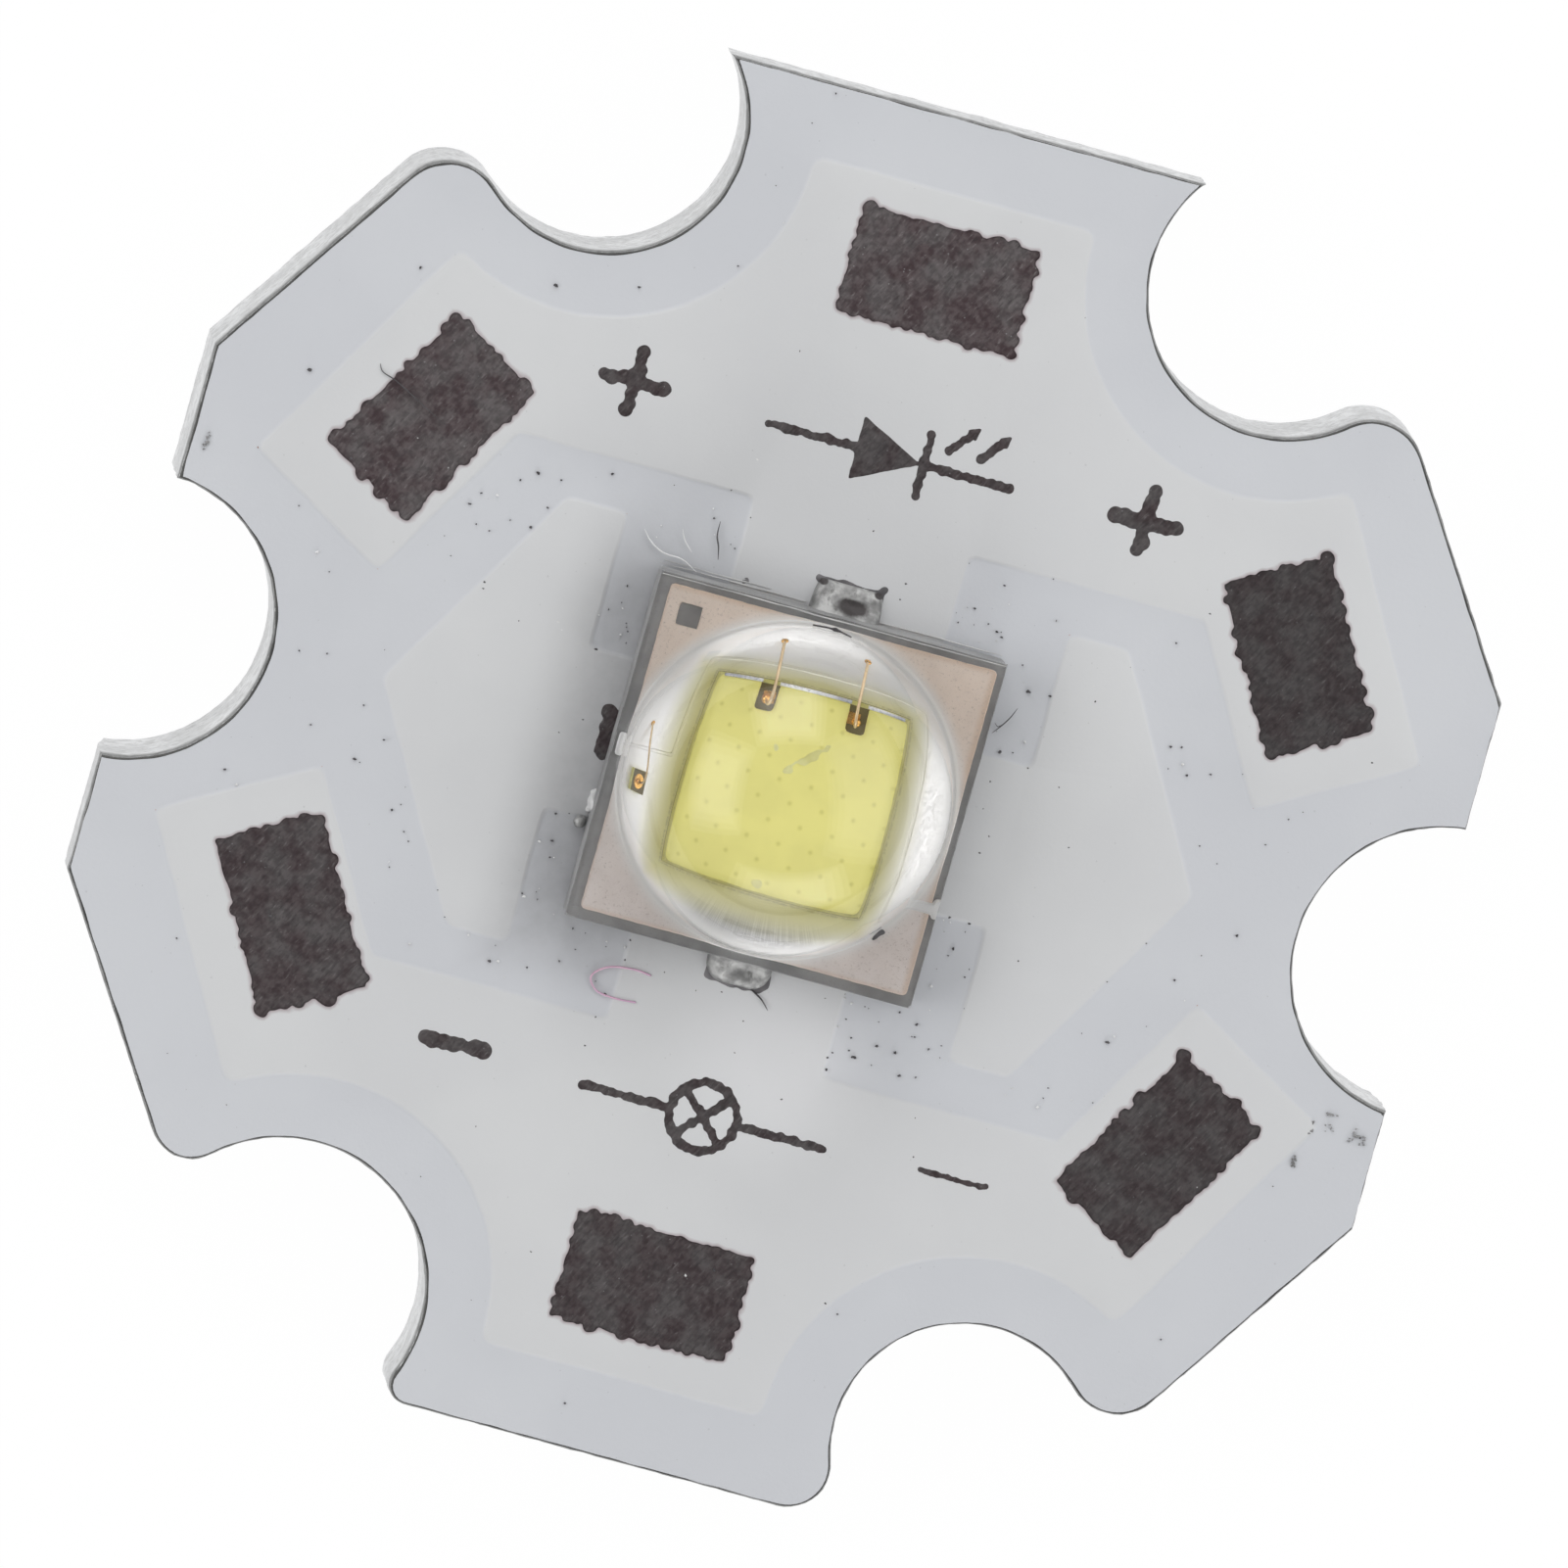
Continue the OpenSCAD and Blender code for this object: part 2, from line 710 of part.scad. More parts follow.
module bond_wire(side) {
    color("gold") on_package()
        arched_wire([side * bond_pad_x, bond_pad_y], bond_pad_top, [side * bond_pad_x, landing_y], metal_top,
            wire_r, wire_bend);
}

module protection_diode() {
    color("dimgray") on_package() translate([guard_at.x, guard_at.y, metal_top])
        linear_extrude(height = guard_thick) square(guard_side, center = true);
}

module protection_pad() {
    color("gold") on_package() translate([guard_at.x, guard_at.y, guard_top])
        cylinder(h = bond_pad_thick, r = guard_side / 3, $fn = small_fn);
}

module protection_wire() {
    color("gold") on_package()
        arched_wire(guard_at, guard_top + bond_pad_thick, guard_landing, metal_top, guard_wire_r, guard_bend);
}

// The clear silicone: a skin over the whole package and the dome, moulded round all that lies inside
module silicone_lens() {
    color("lightcyan", 0.35) difference() {
        on_package() {
            translate([0, 0, metal_z]) linear_extrude(height = metal_thick + skin_thick)
                square(package_side, center = true);
            intersection() {
                translate([0, 0, metal_top]) sphere(r = dome_r);
                translate([0, 0, metal_top + dome_r]) cube(2 * dome_r, center = true);
            }
        }
        on_package() translate([0, 0, metal_z - 1]) linear_extrude(height = metal_thick + 1) {
            difference() {
                square(metal_side, center = true);
                polarity_hole();
            }
            gap_ends();
        }
        die_attach_solder();
        led_die();
        phosphor_layer();
        bond_pad(-1);
        bond_pad(1);
        bond_wire(-1);
        bond_wire(1);
        protection_diode();
        protection_pad();
        protection_wire();
    }
}

base_plate();
dielectric_film();
anode_track();
cathode_track();
thermal_track();
solder_mask();
wire_pad(60);  // anode_pad_left
wire_pad(0);  // anode_pad_top
wire_pad(-60);  // anode_pad_right
wire_pad(120);  // cathode_pad_left
wire_pad(180);  // cathode_pad_bottom
wire_pad(-120);  // cathode_pad_right
plus_mark(-1);  // plus_mark_left
plus_mark(1);  // plus_mark_right
minus_mark(-1, minus_stroke);  // minus_mark_left
minus_mark(1, thin_minus_stroke);  // minus_mark_right
diode_symbol();
lamp_symbol();
index_bar();
anode_solder();
cathode_solder();
thermal_solder();
stray_solder_ball();
anode_land();
cathode_land();
thermal_land();
anode_vias();
cathode_vias();
ceramic_substrate();
wire_bond_metal();
die_attach_metal();
metal_gap_fill();
die_attach_solder();
led_die();
phosphor_layer();
bond_pad(-1);  // bond_pad_left
bond_pad(1);  // bond_pad_right
bond_wire(-1);  // bond_wire_left
bond_wire(1);  // bond_wire_right
protection_diode();
protection_pad();
protection_wire();
silicone_lens();
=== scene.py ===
"""A high-power LED on a star-shaped aluminium board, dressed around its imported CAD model.
Shapes are worked out in millimetres in the CAD model's own frame, and each mesh is turned into metres."""

import math
from functools import reduce
from itertools import product

import bpy
import numpy as np
from bpy.props import FloatProperty, FloatVectorProperty, IntProperty, PointerProperty
from mathutils import Matrix, Vector
from mathutils.geometry import delaunay_2d_cdt


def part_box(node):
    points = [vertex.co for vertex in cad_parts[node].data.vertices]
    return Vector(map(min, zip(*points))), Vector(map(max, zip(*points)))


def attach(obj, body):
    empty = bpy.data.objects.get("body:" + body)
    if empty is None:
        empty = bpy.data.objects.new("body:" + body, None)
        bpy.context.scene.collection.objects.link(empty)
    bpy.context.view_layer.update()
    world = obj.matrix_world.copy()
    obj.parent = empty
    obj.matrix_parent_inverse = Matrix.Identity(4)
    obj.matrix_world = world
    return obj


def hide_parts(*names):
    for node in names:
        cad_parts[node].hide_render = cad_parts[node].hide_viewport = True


bl_info = {
    "name": "LED on star board",
    "version": (1, 0, 0),
    "blender": (4, 5, 0),
    "location": "3D View > Sidebar > LED Board",
    "description": "Builds the pieces, finishes and studio of a high-power LED on its aluminium board",
    "category": "Add Mesh",
}

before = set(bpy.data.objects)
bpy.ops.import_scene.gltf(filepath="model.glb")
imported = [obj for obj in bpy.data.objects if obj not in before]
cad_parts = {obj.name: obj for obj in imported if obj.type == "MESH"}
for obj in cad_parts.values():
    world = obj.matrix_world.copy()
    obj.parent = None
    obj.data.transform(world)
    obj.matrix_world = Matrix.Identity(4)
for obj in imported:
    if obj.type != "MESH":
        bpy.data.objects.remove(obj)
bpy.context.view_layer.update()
MM = 0.001


def low(node):
    """Lowest corner of a CAD node, in millimetres."""
    return np.array(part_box(node)[0]) / MM


def high(node):
    """Highest corner of a CAD node, in millimetres."""
    return np.array(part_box(node)[1]) / MM


# Heights of the layers' faces above the board's underside
CORE_TOP = high("base_plate")[2]
FILM_TOP = high("dielectric_film")[2]
COPPER_TOP = high("anode_track")[2]
LOW_MASK_TOP = FILM_TOP + 0.03
MASK_TOP = high("solder_mask")[2]
MARK_TOP = high("index_bar")[2]
CERAMIC_LOW = low("ceramic_substrate")[2]
CERAMIC_TOP = high("ceramic_substrate")[2]
METAL_TOP = high("die_attach_metal")[2]
DIE_TOP = high("led_die")[2]
PHOSPHOR_TOP = high("phosphor_layer")[2]
BOND_PAD_TOP = high("bond_pad_left")[2]
GUARD_TOP = high("protection_pad")[2]
DOME_TOP = high("silicone_lens")[2]

# Places on the board and in the package
PACKAGE = (low("ceramic_substrate")[:2] + high("ceramic_substrate")[:2]) / 2
PACKAGE_HALF = (high("ceramic_substrate")[0] - low("ceramic_substrate")[0]) / 2
COPPER_SHIFT = np.array([0.03, 0.06])
BURN_SHIFT = np.array([0.13, 0.10])
METAL = PACKAGE + (0.035, 0.01)
PAD_RING = 7.25
# Each wire pad's lobe as an angle from the top, how pale its char is and how far it was burnt off its place
PADS = {
    "anode_pad_left": (60, 0.85, (0.0, 0.015)),
    "anode_pad_top": (0, 1.0, (-0.01, 0.09)),
    "anode_pad_right": (-60, 0.0, (-0.015, -0.025)),
    "cathode_pad_left": (120, 0.5, (-0.02, 0.055)),
    "cathode_pad_bottom": (180, 0.4, (-0.035, -0.03)),
    "cathode_pad_right": (-120, 0.25, (-0.005, -0.03)),
}


def tone(*levels):
    """A screen colour from 0 to 255, one level for a grey, as the linear values that shaders use."""
    return tuple(
        c / 12.92 if c <= 0.04045 else ((c + 0.055) / 1.055) ** 2.4
        for c in (level / 255 for level in levels * (3 // len(levels)))
    )


def length(name, description, value):
    """A size property, from millimetres."""
    return FloatProperty(name=name, description=description, default=value * MM, unit="LENGTH")


def paint(name, description, *value):
    """A colour property, from 0 to 255."""
    return FloatVectorProperty(
        name=name, description=description, default=tone(*value), size=3, subtype="COLOR", min=0, max=1
    )


class BoardSizes(bpy.types.PropertyGroup):
    """Sizes of the star board and of what is printed and burnt on it."""

    slant_reach: length("Slanted edge reach", "Centre to each slanted edge", 9.87)
    end_reach: length("End reach", "Centre to the top and bottom edges", high("base_plate")[1])
    side_reach: length("Side reach", "Centre to the left and right edges", high("base_plate")[0])
    notch_radius: length("Notch radius", "Radius of the six screw notches", 2.0)
    corner_radius: length("Corner radius", "Rounding of the slanted lobes", 0.76)
    end_corner_radius: length("End corner radius", "Rounding of the bottom lobe", 0.45)
    cut_bevel: length("Cut bevel", "Width of the bevel that the V-cuts leave below", 0.13)
    cut_depth: length("Cut depth", "Depth of each V-cut from below", 0.9)
    mask_back: length("Mask margin", "Distance of the white mask from the board's edge", 0.05)
    pad_length: length("Wire pad length", "Length of a wire pad", 2.61)
    pad_width: length("Wire pad width", "Width of a wire pad", 1.61)
    scallop_radius: length("Scallop radius", "Radius of a burnt spot on a pad's edge", 0.115)


class PackageSizes(bpy.types.PropertyGroup):
    """Sizes of the LED package."""

    dome_radius: length("Dome radius", "Radius of the silicone dome", DOME_TOP - METAL_TOP)
    dome_fillet: length("Dome fillet", "Width of the fillet round the dome's foot", 0.15)
    metal_half: length("Metal half side", "Half the side of the metal on the ceramic", 2.355)
    die_half: length("Die half side", "Half the side of the die", 1.025)
    gap_width: length("Gap width", "Width of the filled gap in the metal", 0.018)
    wire_radius: length("Bond wire radius", "Radius of the bond wires", 0.018)
    guard_wire_radius: length("Guard wire radius", "Radius of the protection diode's wire", 0.013)
    specks: IntProperty(name="Specks", description="Number of dust specks round the package", default=560)


class Finishes(bpy.types.PropertyGroup):
    """Colours of the finishes."""

    mask: paint("Mask", "White mask on the bare film", 199, 201, 205)
    mask_raised: paint("Raised mask", "White mask over copper", 204, 205, 206)
    aluminium: paint("Aluminium", "Routed aluminium core", 228, 229, 230)
    film: paint("Film", "Insulating film", 84, 84, 82)
    char_dark: paint("Dark char", "Burnt pads and marks, darkest", 46, 40, 41)
    char_light: paint("Pale char", "Burnt pads and marks, palest", 112, 106, 106)
    copper: paint("Copper", "Tracks", 200, 128, 90)
    solder: paint("Solder", "Solder joints", 186, 186, 185)
    ceramic: paint("Ceramic", "Package ceramic", 158, 158, 158)
    # Under the dome the plate is painted brighter and whiter: painted light that the dome gathers
    plated: paint("Plated metal", "Silver plate under the dome", 252, 251, 250)
    tarnish: paint("Tarnished metal", "Silver plate outside the dome, above", 252, 237, 224)
    tarnish_low: paint("Tarnished metal below", "Silver plate outside the dome, below", 247, 238, 233)
    gold: paint("Gold", "Pads and balls", 240, 186, 104)
    wire: paint("Wire", "Bond wires", 232, 205, 164)
    phosphor: paint("Phosphor", "Phosphor layer", 247, 240, 148)
    glow: paint("Phosphor tint", "Tint of the metal next to the die", 228, 223, 166)
    silicon: paint("Silicon", "Sides of the die", 206, 200, 124)
    filling: paint("Gap filling", "White filling between the metal areas", 252, 252, 252)
    backdrop: paint("Backdrop", "Floor", 252, 252, 252)


# ---- Shapes in the plane


def unit(angle):
    """The direction at an angle in degrees."""
    return np.array([math.cos(math.radians(angle)), math.sin(math.radians(angle))])


def turned(points, angle):
    """Points in the plane, turned by an angle in degrees."""
    c, s = unit(angle)
    return np.asarray(points) @ np.array([[c, s], [-s, c]])


def hashed(cells, seed):
    """A random value from 0 to 1 for each cell of whole numbers."""
    mixed = cells[:, 0] * 374761393 + cells[:, 1] * 668265263 + cells[:, 2] * 1440662683 + seed * 974711
    mixed = (mixed ^ (mixed >> 13)) * 1274126177 & 0xFFFFFFFF
    return ((mixed ^ (mixed >> 16)) & 0xFFFF) / 0xFFFF


def lumps(points, size, seed):
    """Smooth random values from -1 to 1 at 2D or 3D points, with bumps about a size apart."""
    p = np.asarray(points, float) / size
    if p.shape[1] == 2:
        p = np.c_[p, np.full(len(p), 0.5)]
    cell = np.floor(p).astype(np.int64)
    part = p - cell
    part = part * part * (3 - 2 * part)
    total = np.zeros(len(p))
    for corner in product((0, 1), repeat=3):
        weight = np.prod(np.where(corner, part, 1 - part), axis=1)
        total += weight * hashed(cell + corner, seed)
    return 2 * total - 1


def box_distance(p, centre, half):
    """Signed distance from points to a rectangle."""
    away = np.abs(p - np.asarray(centre)) - np.asarray(half)
    return np.hypot(*np.maximum(away, 0).T) + np.minimum(away.max(axis=1), 0)


def stroke_distance(p, start, end, half):
    """Signed distance from points to a round-ended stroke."""
    start, run = np.asarray(start, float), np.asarray(end, float) - start
    along = np.clip((p - start) @ run / (run @ run), 0, 1)
    return np.linalg.norm(p - start - along[:, None] * run, axis=1) - half


def spots_distance(p, spots):
    """Signed distance from points to the nearest of some round spots, given as their middles and radii."""
    return np.minimum.reduce([np.linalg.norm(p - middle, axis=1) - radius for middle, radius in spots])


def polygon_distance(p, corners):
    """Signed distance from points to a polygon."""
    near = np.full(len(p), 1e9)
    inside = np.zeros(len(p), bool)
    corners = np.asarray(corners, float)
    for a, b in zip(corners, np.roll(corners, -1, axis=0)):
        near = np.minimum(near, stroke_distance(p, a, b, 0))
        if a[1] != b[1]:
            crossing = a[0] + (p[:, 1] - a[1]) * (b[0] - a[0]) / (b[1] - a[1])
            inside ^= ((a[1] > p[:, 1]) != (b[1] > p[:, 1])) & (p[:, 0] < crossing)
    return np.where(inside, -near, near)


# For each pattern of a cell's corners inside a shape, the steps from cell edge to cell edge.
# The edges are 0 bottom, 1 right, 2 top and 3 left, and the inside is on the left of each step.
STEPS = {
    1: [(0, 3)], 2: [(1, 0)], 3: [(1, 3)], 4: [(2, 1)], 5: [(0, 3), (2, 1)], 6: [(2, 0)], 7: [(2, 3)],
    8: [(3, 2)], 9: [(0, 2)], 10: [(1, 0), (3, 2)], 11: [(1, 2)], 12: [(3, 1)], 13: [(0, 1)], 14: [(3, 0)],
}


class Field:
    """A shape as signed distances on a grid, from which outlines at any offset are drawn."""

    def __init__(self, corner, opposite, step, distance, soften=0):
        self.corner, self.step = np.asarray(corner, float), step
        count = np.ceil((np.asarray(opposite) - self.corner) / step).astype(int) + 1
        x, y = np.meshgrid(*(self.corner[i] + step * np.arange(count[i]) for i in (0, 1)))
        self.values = distance(np.c_[x.ravel(), y.ravel()]).reshape(x.shape)
        for _ in range(soften):
            padded = np.pad(self.values, 1, mode="edge")
            self.values = (
                padded[:-2, 1:-1] + padded[2:, 1:-1] + padded[1:-1, :-2] + padded[1:-1, 2:]
                + 4 * padded[1:-1, 1:-1]
            ) / 8

    def at(self, points):
        """The distance at any points."""
        place = (np.asarray(points) - self.corner) / self.step
        rows, columns = self.values.shape
        i = np.clip(np.floor(place[:, 0]).astype(int), 0, columns - 2)
        j = np.clip(np.floor(place[:, 1]).astype(int), 0, rows - 2)
        u, v = np.clip(place[:, 0] - i, 0, 1), np.clip(place[:, 1] - j, 0, 1)
        g = self.values
        return (
            g[j, i] * (1 - u) * (1 - v) + g[j, i + 1] * u * (1 - v)
            + g[j + 1, i] * (1 - u) * v + g[j + 1, i + 1] * u * v
        )

    def crossing(self, edge):
        """The point where the outline crosses a grid edge."""
        upright, j, i = edge
        a, b = self.level[j, i], self.level[j + upright, i + 1 - upright]
        t = a / (a - b)
        return self.corner + self.step * np.array([i + t * (1 - upright), j + t * upright])

    def outlines(self, offset=0.0, spacing=None):
        """Closed outlines where the distance is offset, with points about a spacing apart."""
        self.level = self.values - offset
        inside = self.level < 0
        code = inside[:-1, :-1] + 2 * inside[:-1, 1:] + 4 * inside[1:, 1:] + 8 * inside[1:, :-1]
        follow = {}
        for j, i in zip(*np.nonzero((code > 0) & (code < 15))):
            edges = ((0, j, i), (1, j, i + 1), (0, j + 1, i), (1, j, i))
            for start, end in STEPS[int(code[j, i])]:
                follow[edges[start]] = edges[end]
        loops = []
        while follow:
            first = next(iter(follow))
            chain, at = [], first
            while at in follow:
                chain.append(self.crossing(at))
                at = follow.pop(at)
            if len(chain) > 8:
                loops.append(even(np.array(chain), spacing or self.step))
        return loops


def even(loop, spacing=None, count=None):
    """A closed loop with its points spread evenly, about a spacing apart or a given count of them."""
    closed = np.vstack([loop, loop[:1]])
    run = np.r_[0, np.cumsum(np.linalg.norm(np.diff(closed, axis=0), axis=1))]
    places = np.linspace(0, run[-1], count or max(8, round(run[-1] / spacing)), endpoint=False)
    return np.c_[np.interp(places, run, closed[:, 0]), np.interp(places, run, closed[:, 1])]


def rounded_square(half, radius):
    """A square with rounded corners, counterclockwise."""
    points = []
    for corner in range(4):
        middle = turned([(half - radius, half - radius)], 90 * corner)[0]
        points += [middle + radius * unit(90 * corner + a) for a in np.linspace(0, 90, 7)]
    return np.array(points)


def triangles(loops, keep, extra=()):
    """Points and triangles that follow the loops, where keep says that a triangle's middle belongs."""
    points, edges = [], []
    for loop in loops:
        first = len(points)
        points.extend(Vector(p) for p in loop)
        edges.extend((first + i, first + (i + 1) % len(loop)) for i in range(len(loop)))
    points.extend(Vector(p) for p in extra)
    made = delaunay_2d_cdt(points, edges, [], 0, 1e-7)
    flat = np.array([tuple(p) for p in made[0]])
    tris = np.array(made[2])
    a, b, c = flat[tris[:, 0]], flat[tris[:, 1]], flat[tris[:, 2]]
    area = (b[:, 0] - a[:, 0]) * (c[:, 1] - a[:, 1]) - (b[:, 1] - a[:, 1]) * (c[:, 0] - a[:, 0])
    tris = tris[keep((a + b + c) / 3) & (np.abs(area) > 1e-9)]
    used, place = np.unique(tris, return_inverse=True)
    return flat[used], place.reshape(tris.shape)


def scattered(corner, opposite, step, seed):
    """Points on a shaken grid."""
    random = np.random.default_rng(seed)
    x, y = np.meshgrid(np.arange(corner[0], opposite[0], step), np.arange(corner[1], opposite[1], step))
    grid = np.c_[x.ravel(), y.ravel()]
    return grid + random.uniform(-0.35, 0.35, grid.shape) * step


# ---- Meshes


def show(name, shape, finish, replaces=(), smooth=40, masks=None):
    """A mesh piece from points and faces, riding on the body and standing for its CAD nodes."""
    points, faces = shape
    mesh = bpy.data.meshes.new(name)
    mesh.from_pydata((np.asarray(points) * MM).tolist(), [], [tuple(map(int, f)) for f in faces])
    mesh.validate()
    mesh.polygons.foreach_set("use_smooth", [True] * len(mesh.polygons))
    mesh.set_sharp_from_angle(angle=math.radians(smooth))
    for mask, values in (masks or {}).items():
        layer = mesh.attributes.new(mask, "FLOAT", "POINT")
        layer.data.foreach_set("value", np.full(len(points), values, np.float32))
    mesh.materials.append(finish)
    mesh.update()
    piece = bpy.data.objects.new(name, mesh)
    bpy.context.scene.collection.objects.link(piece)
    if replaces:
        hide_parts(*replaces)
    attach(piece, "root")


def coat(flat, tris, top, bottom):
    """A closed shell over triangles in the plane, between a bottom and a top height for each point."""
    count = len(flat)
    points = np.vstack([np.c_[flat, top], np.c_[flat, np.broadcast_to(bottom, count)]])
    sides = {}
    for a, b, c in tris:
        for edge in ((a, b), (b, c), (c, a)):
            sides[edge] = sides.get(edge, 0) + 1
    rim = [(a, b) for a, b in sides if (b, a) not in sides]
    faces = [tuple(t) for t in tris]
    faces += [(c + count, b + count, a + count) for a, b, c in tris]
    faces += [(a, a + count, b + count, b) for a, b in rim]
    return points, faces


def slab(field, bottom, profile, spacing, rough=0.0, grain=0.0, seed=1, turn=0.0, shift=(0, 0)):
    """A closed slab with the field's outline. The profile gives heights at distances in from its edge."""
    loops = [loop for inset, _ in profile for loop in field.outlines(-inset - 1e-6, spacing)]
    extra = ()
    if grain:
        spots = scattered(field.corner, np.vstack(loops).max(axis=0), grain, seed)
        extra = spots[field.at(spots) < -profile[-1][0] - 0.6 * grain]
    flat, tris = triangles(loops, lambda middle: field.at(middle) < 0, extra)
    inset, height = zip(*profile)
    depth = -field.at(flat)
    top = np.interp(depth, inset, height)
    if rough:
        top = top + rough * lumps(flat, 0.07, seed) * np.clip(depth / 0.03, 0.2, 1)
    points, faces = coat(flat, tris, top, bottom)
    points[:, :2] = turned(points[:, :2], turn) + shift
    return points, faces


def loft(rings, ends=True):
    """Rings of points joined by quads, closed by a face at each end."""
    count = len(rings[0])
    faces = [
        (base + i, base + (i + 1) % count, base + count + (i + 1) % count, base + count + i)
        for base in range(0, count * (len(rings) - 1), count)
        for i in range(count)
    ]
    if ends:
        last = count * (len(rings) - 1)
        faces += [tuple(range(count))[::-1], tuple(range(last, last + count))]
    return np.vstack(rings), faces


def joined(parts):
    """Several meshes as one."""
    points, faces, first = [], [], 0
    for part_points, part_faces in parts:
        points.append(part_points)
        faces += [tuple(first + i for i in face) for face in part_faces]
        first += len(part_points)
    return np.vstack(points), faces


def spline(path, count):
    """A smooth curve through the points of a path."""
    path = np.asarray(path, float)
    ends = np.vstack([2 * path[0] - path[1], path, 2 * path[-1] - path[-2]])
    found = []
    for t in np.linspace(0, len(path) - 1 - 1e-9, count):
        i, u = int(t), t - int(t)
        a, b, c, d = ends[i : i + 4]
        found.append(
            0.5 * (2 * b + (c - a) * u + (2 * a - 5 * b + 4 * c - d) * u**2 + (3 * b - a - 3 * c + d) * u**3)
        )
    return np.array(found)


def tube(path, radius, sides=12):
    """A closed round tube along a path. The radius is one number, or one for each point."""
    path = np.asarray(path, float)
    radius = np.broadcast_to(radius, len(path))
    along = np.gradient(path, axis=0)
    along /= np.linalg.norm(along, axis=1)[:, None]
    side = np.cross(along[0], (0.3, 0.2, 0.93))
    rings = []
    for centre, direction, r in zip(path, along, radius):
        side = side - direction * (side @ direction)
        side /= np.linalg.norm(side)
        up = np.cross(direction, side)
        angles = np.linspace(0, 2 * math.pi, sides, endpoint=False)
        rings.append(centre + r * (np.outer(np.cos(angles), side) + np.outer(np.sin(angles), up)))
    return loft(rings)


def turned_part(profile, centre, sides=24):
    """A closed turned shape from radii and heights, lowest first."""
    angles = np.linspace(0, 2 * math.pi, sides, endpoint=False)
    rings = [
        np.c_[centre[0] + r * np.cos(angles), centre[1] + r * np.sin(angles), np.full(sides, z)]
        for r, z in profile
    ]
    return loft(rings)


# ---- The board


def corner_curve(centre, normal, tangent, gap, hole, rounding):
    """The rounded corner of a lobe, from its straight edge to the screw notch."""
    rise = gap - rounding
    along = math.sqrt((hole + rounding) ** 2 - rise**2)
    middle = np.array([along, rise])
    sweep = math.pi / 2 + math.atan2(rise, along)
    angles = math.pi / 2 + sweep * np.linspace(0, 1, 12)
    local = middle + rounding * np.c_[np.cos(angles), np.sin(angles)]
    return centre + np.outer(local[:, 0], tangent) + np.outer(local[:, 1], normal)


def straight(start, end, count):
    """Points from start to just before end."""
    steps = np.linspace(0, 1, count, endpoint=False)[:, None]
    return np.asarray(start) + steps * (np.asarray(end) - np.asarray(start))


def notch_arc(centre, radius, start, end, count):
    """Points clockwise round a notch, from the direction of start to just before that of end."""
    first = math.atan2(*(start - centre)[::-1])
    last = math.atan2(*(end - centre)[::-1])
    if last > first:
        last -= 2 * math.pi
    angles = np.linspace(first, last, count, endpoint=False)
    return centre + radius * np.c_[np.cos(angles), np.sin(angles)]


# For the right half (1) and the left (-1): how far outside nominal the upper and the lower slanted edge and
# the side edge lie
EDGE_PLAY = {1: (0.015, 0.043, -0.003), -1: (0.08, -0.035, -0.003)}
# How much smaller than nominal the upper, middle and lower notch are, then how far out and up each lies
NOTCH_PLAY = {
    1: ((0.041, -0.044, 0.202), ((0.049, 0.071), (0.106, -0.077), (0.027, 0.129))),
    -1: ((0.118, 0.016, -0.026), ((0.01, 0.0), (0.026, -0.021), (0.048, -0.08))),
}
# How much blunter than nominal the corners at the upper slant, the lower slant and the bottom are
CORNER_PLAY = {1: (0.003, -0.027, 0.167), -1: (0.017, -0.169, -0.16)}


def half_star(sizes, side, back, snap):
    """Half of the board's outline, from the middle of the bottom to that of the top, as if on the right."""
    upper_play, lower_play, side_play = EDGE_PLAY[side]
    notch_play, moves = NOTCH_PLAY[side]
    high_round, low_round, end_round = CORNER_PLAY[side]
    reach, end, wide = (v / MM for v in (sizes.slant_reach, sizes.end_reach, sizes.side_reach))
    hole, rounding, end_rounding = (
        v / MM for v in (sizes.notch_radius, sizes.corner_radius, sizes.end_corner_radius)
    )
    angle, inset = 33.5, 1.144
    ring = (reach - inset) / math.cos(math.radians(60 - angle))
    upper, lower = ring * unit(60) + moves[0], ring * unit(-60) + moves[2]
    middle = np.array([wide + 0.08, 0]) + moves[1]
    rise = middle[1]
    upper_hole, middle_hole, lower_hole = (hole - play + back for play in notch_play)
    high_slant, low_slant = reach + upper_play - back, reach + lower_play - back
    top, end = end - snap, end - back
    low_wide = wide + side_play - snap
    high_wide = low_wide if side > 0 else wide + side_play - back
    c, s = unit(angle)
    high_shoulder, low_shoulder = (high_slant - high_wide * c) / s, (low_slant - low_wide * c) / s
    lip = np.array([low_wide, rise - math.sqrt(middle_hole**2 - (middle[0] - low_wide) ** 2)])
    brow = np.array([high_wide, rise + math.sqrt(middle_hole**2 - (middle[0] - high_wide) ** 2)])
    foot = corner_curve(lower, (0, -1), (-1, 0), end + lower[1], lower_hole, end_rounding + end_round - back)
    curves = []
    for spot, radius, turn, slant, blunt in (
        (lower, lower_hole, -1, low_slant, low_round), (upper, upper_hole, 1, high_slant, high_round)
    ):
        out, along = unit(turn * angle), unit(turn * (angle - 90))
        curves.append(corner_curve(spot, out, along, slant - spot @ out, radius, rounding + blunt - back))
    low_curve, high_curve = curves
    tip = np.array([upper[0] - math.sqrt(upper_hole**2 - (top - upper[1]) ** 2), top])
    return np.vstack([
        straight((0, -end), foot[0], 30),
        foot[:-1],
        notch_arc(lower, lower_hole, foot[-1], low_curve[-1], 80),
        low_curve[:0:-1],
        straight(low_curve[0], (low_wide, -low_shoulder), 50),
        straight((low_wide, -low_shoulder), lip, 26),
        notch_arc(middle, middle_hole, lip, brow, 72),
        straight(brow, (high_wide, high_shoulder), 26),
        straight((high_wide, high_shoulder), high_curve[0], 50),
        high_curve[:-1],
        notch_arc(upper, upper_hole, high_curve[-1], tip, 80),
        straight(tip, (0, top), 34),
        [(0, top)],
    ])


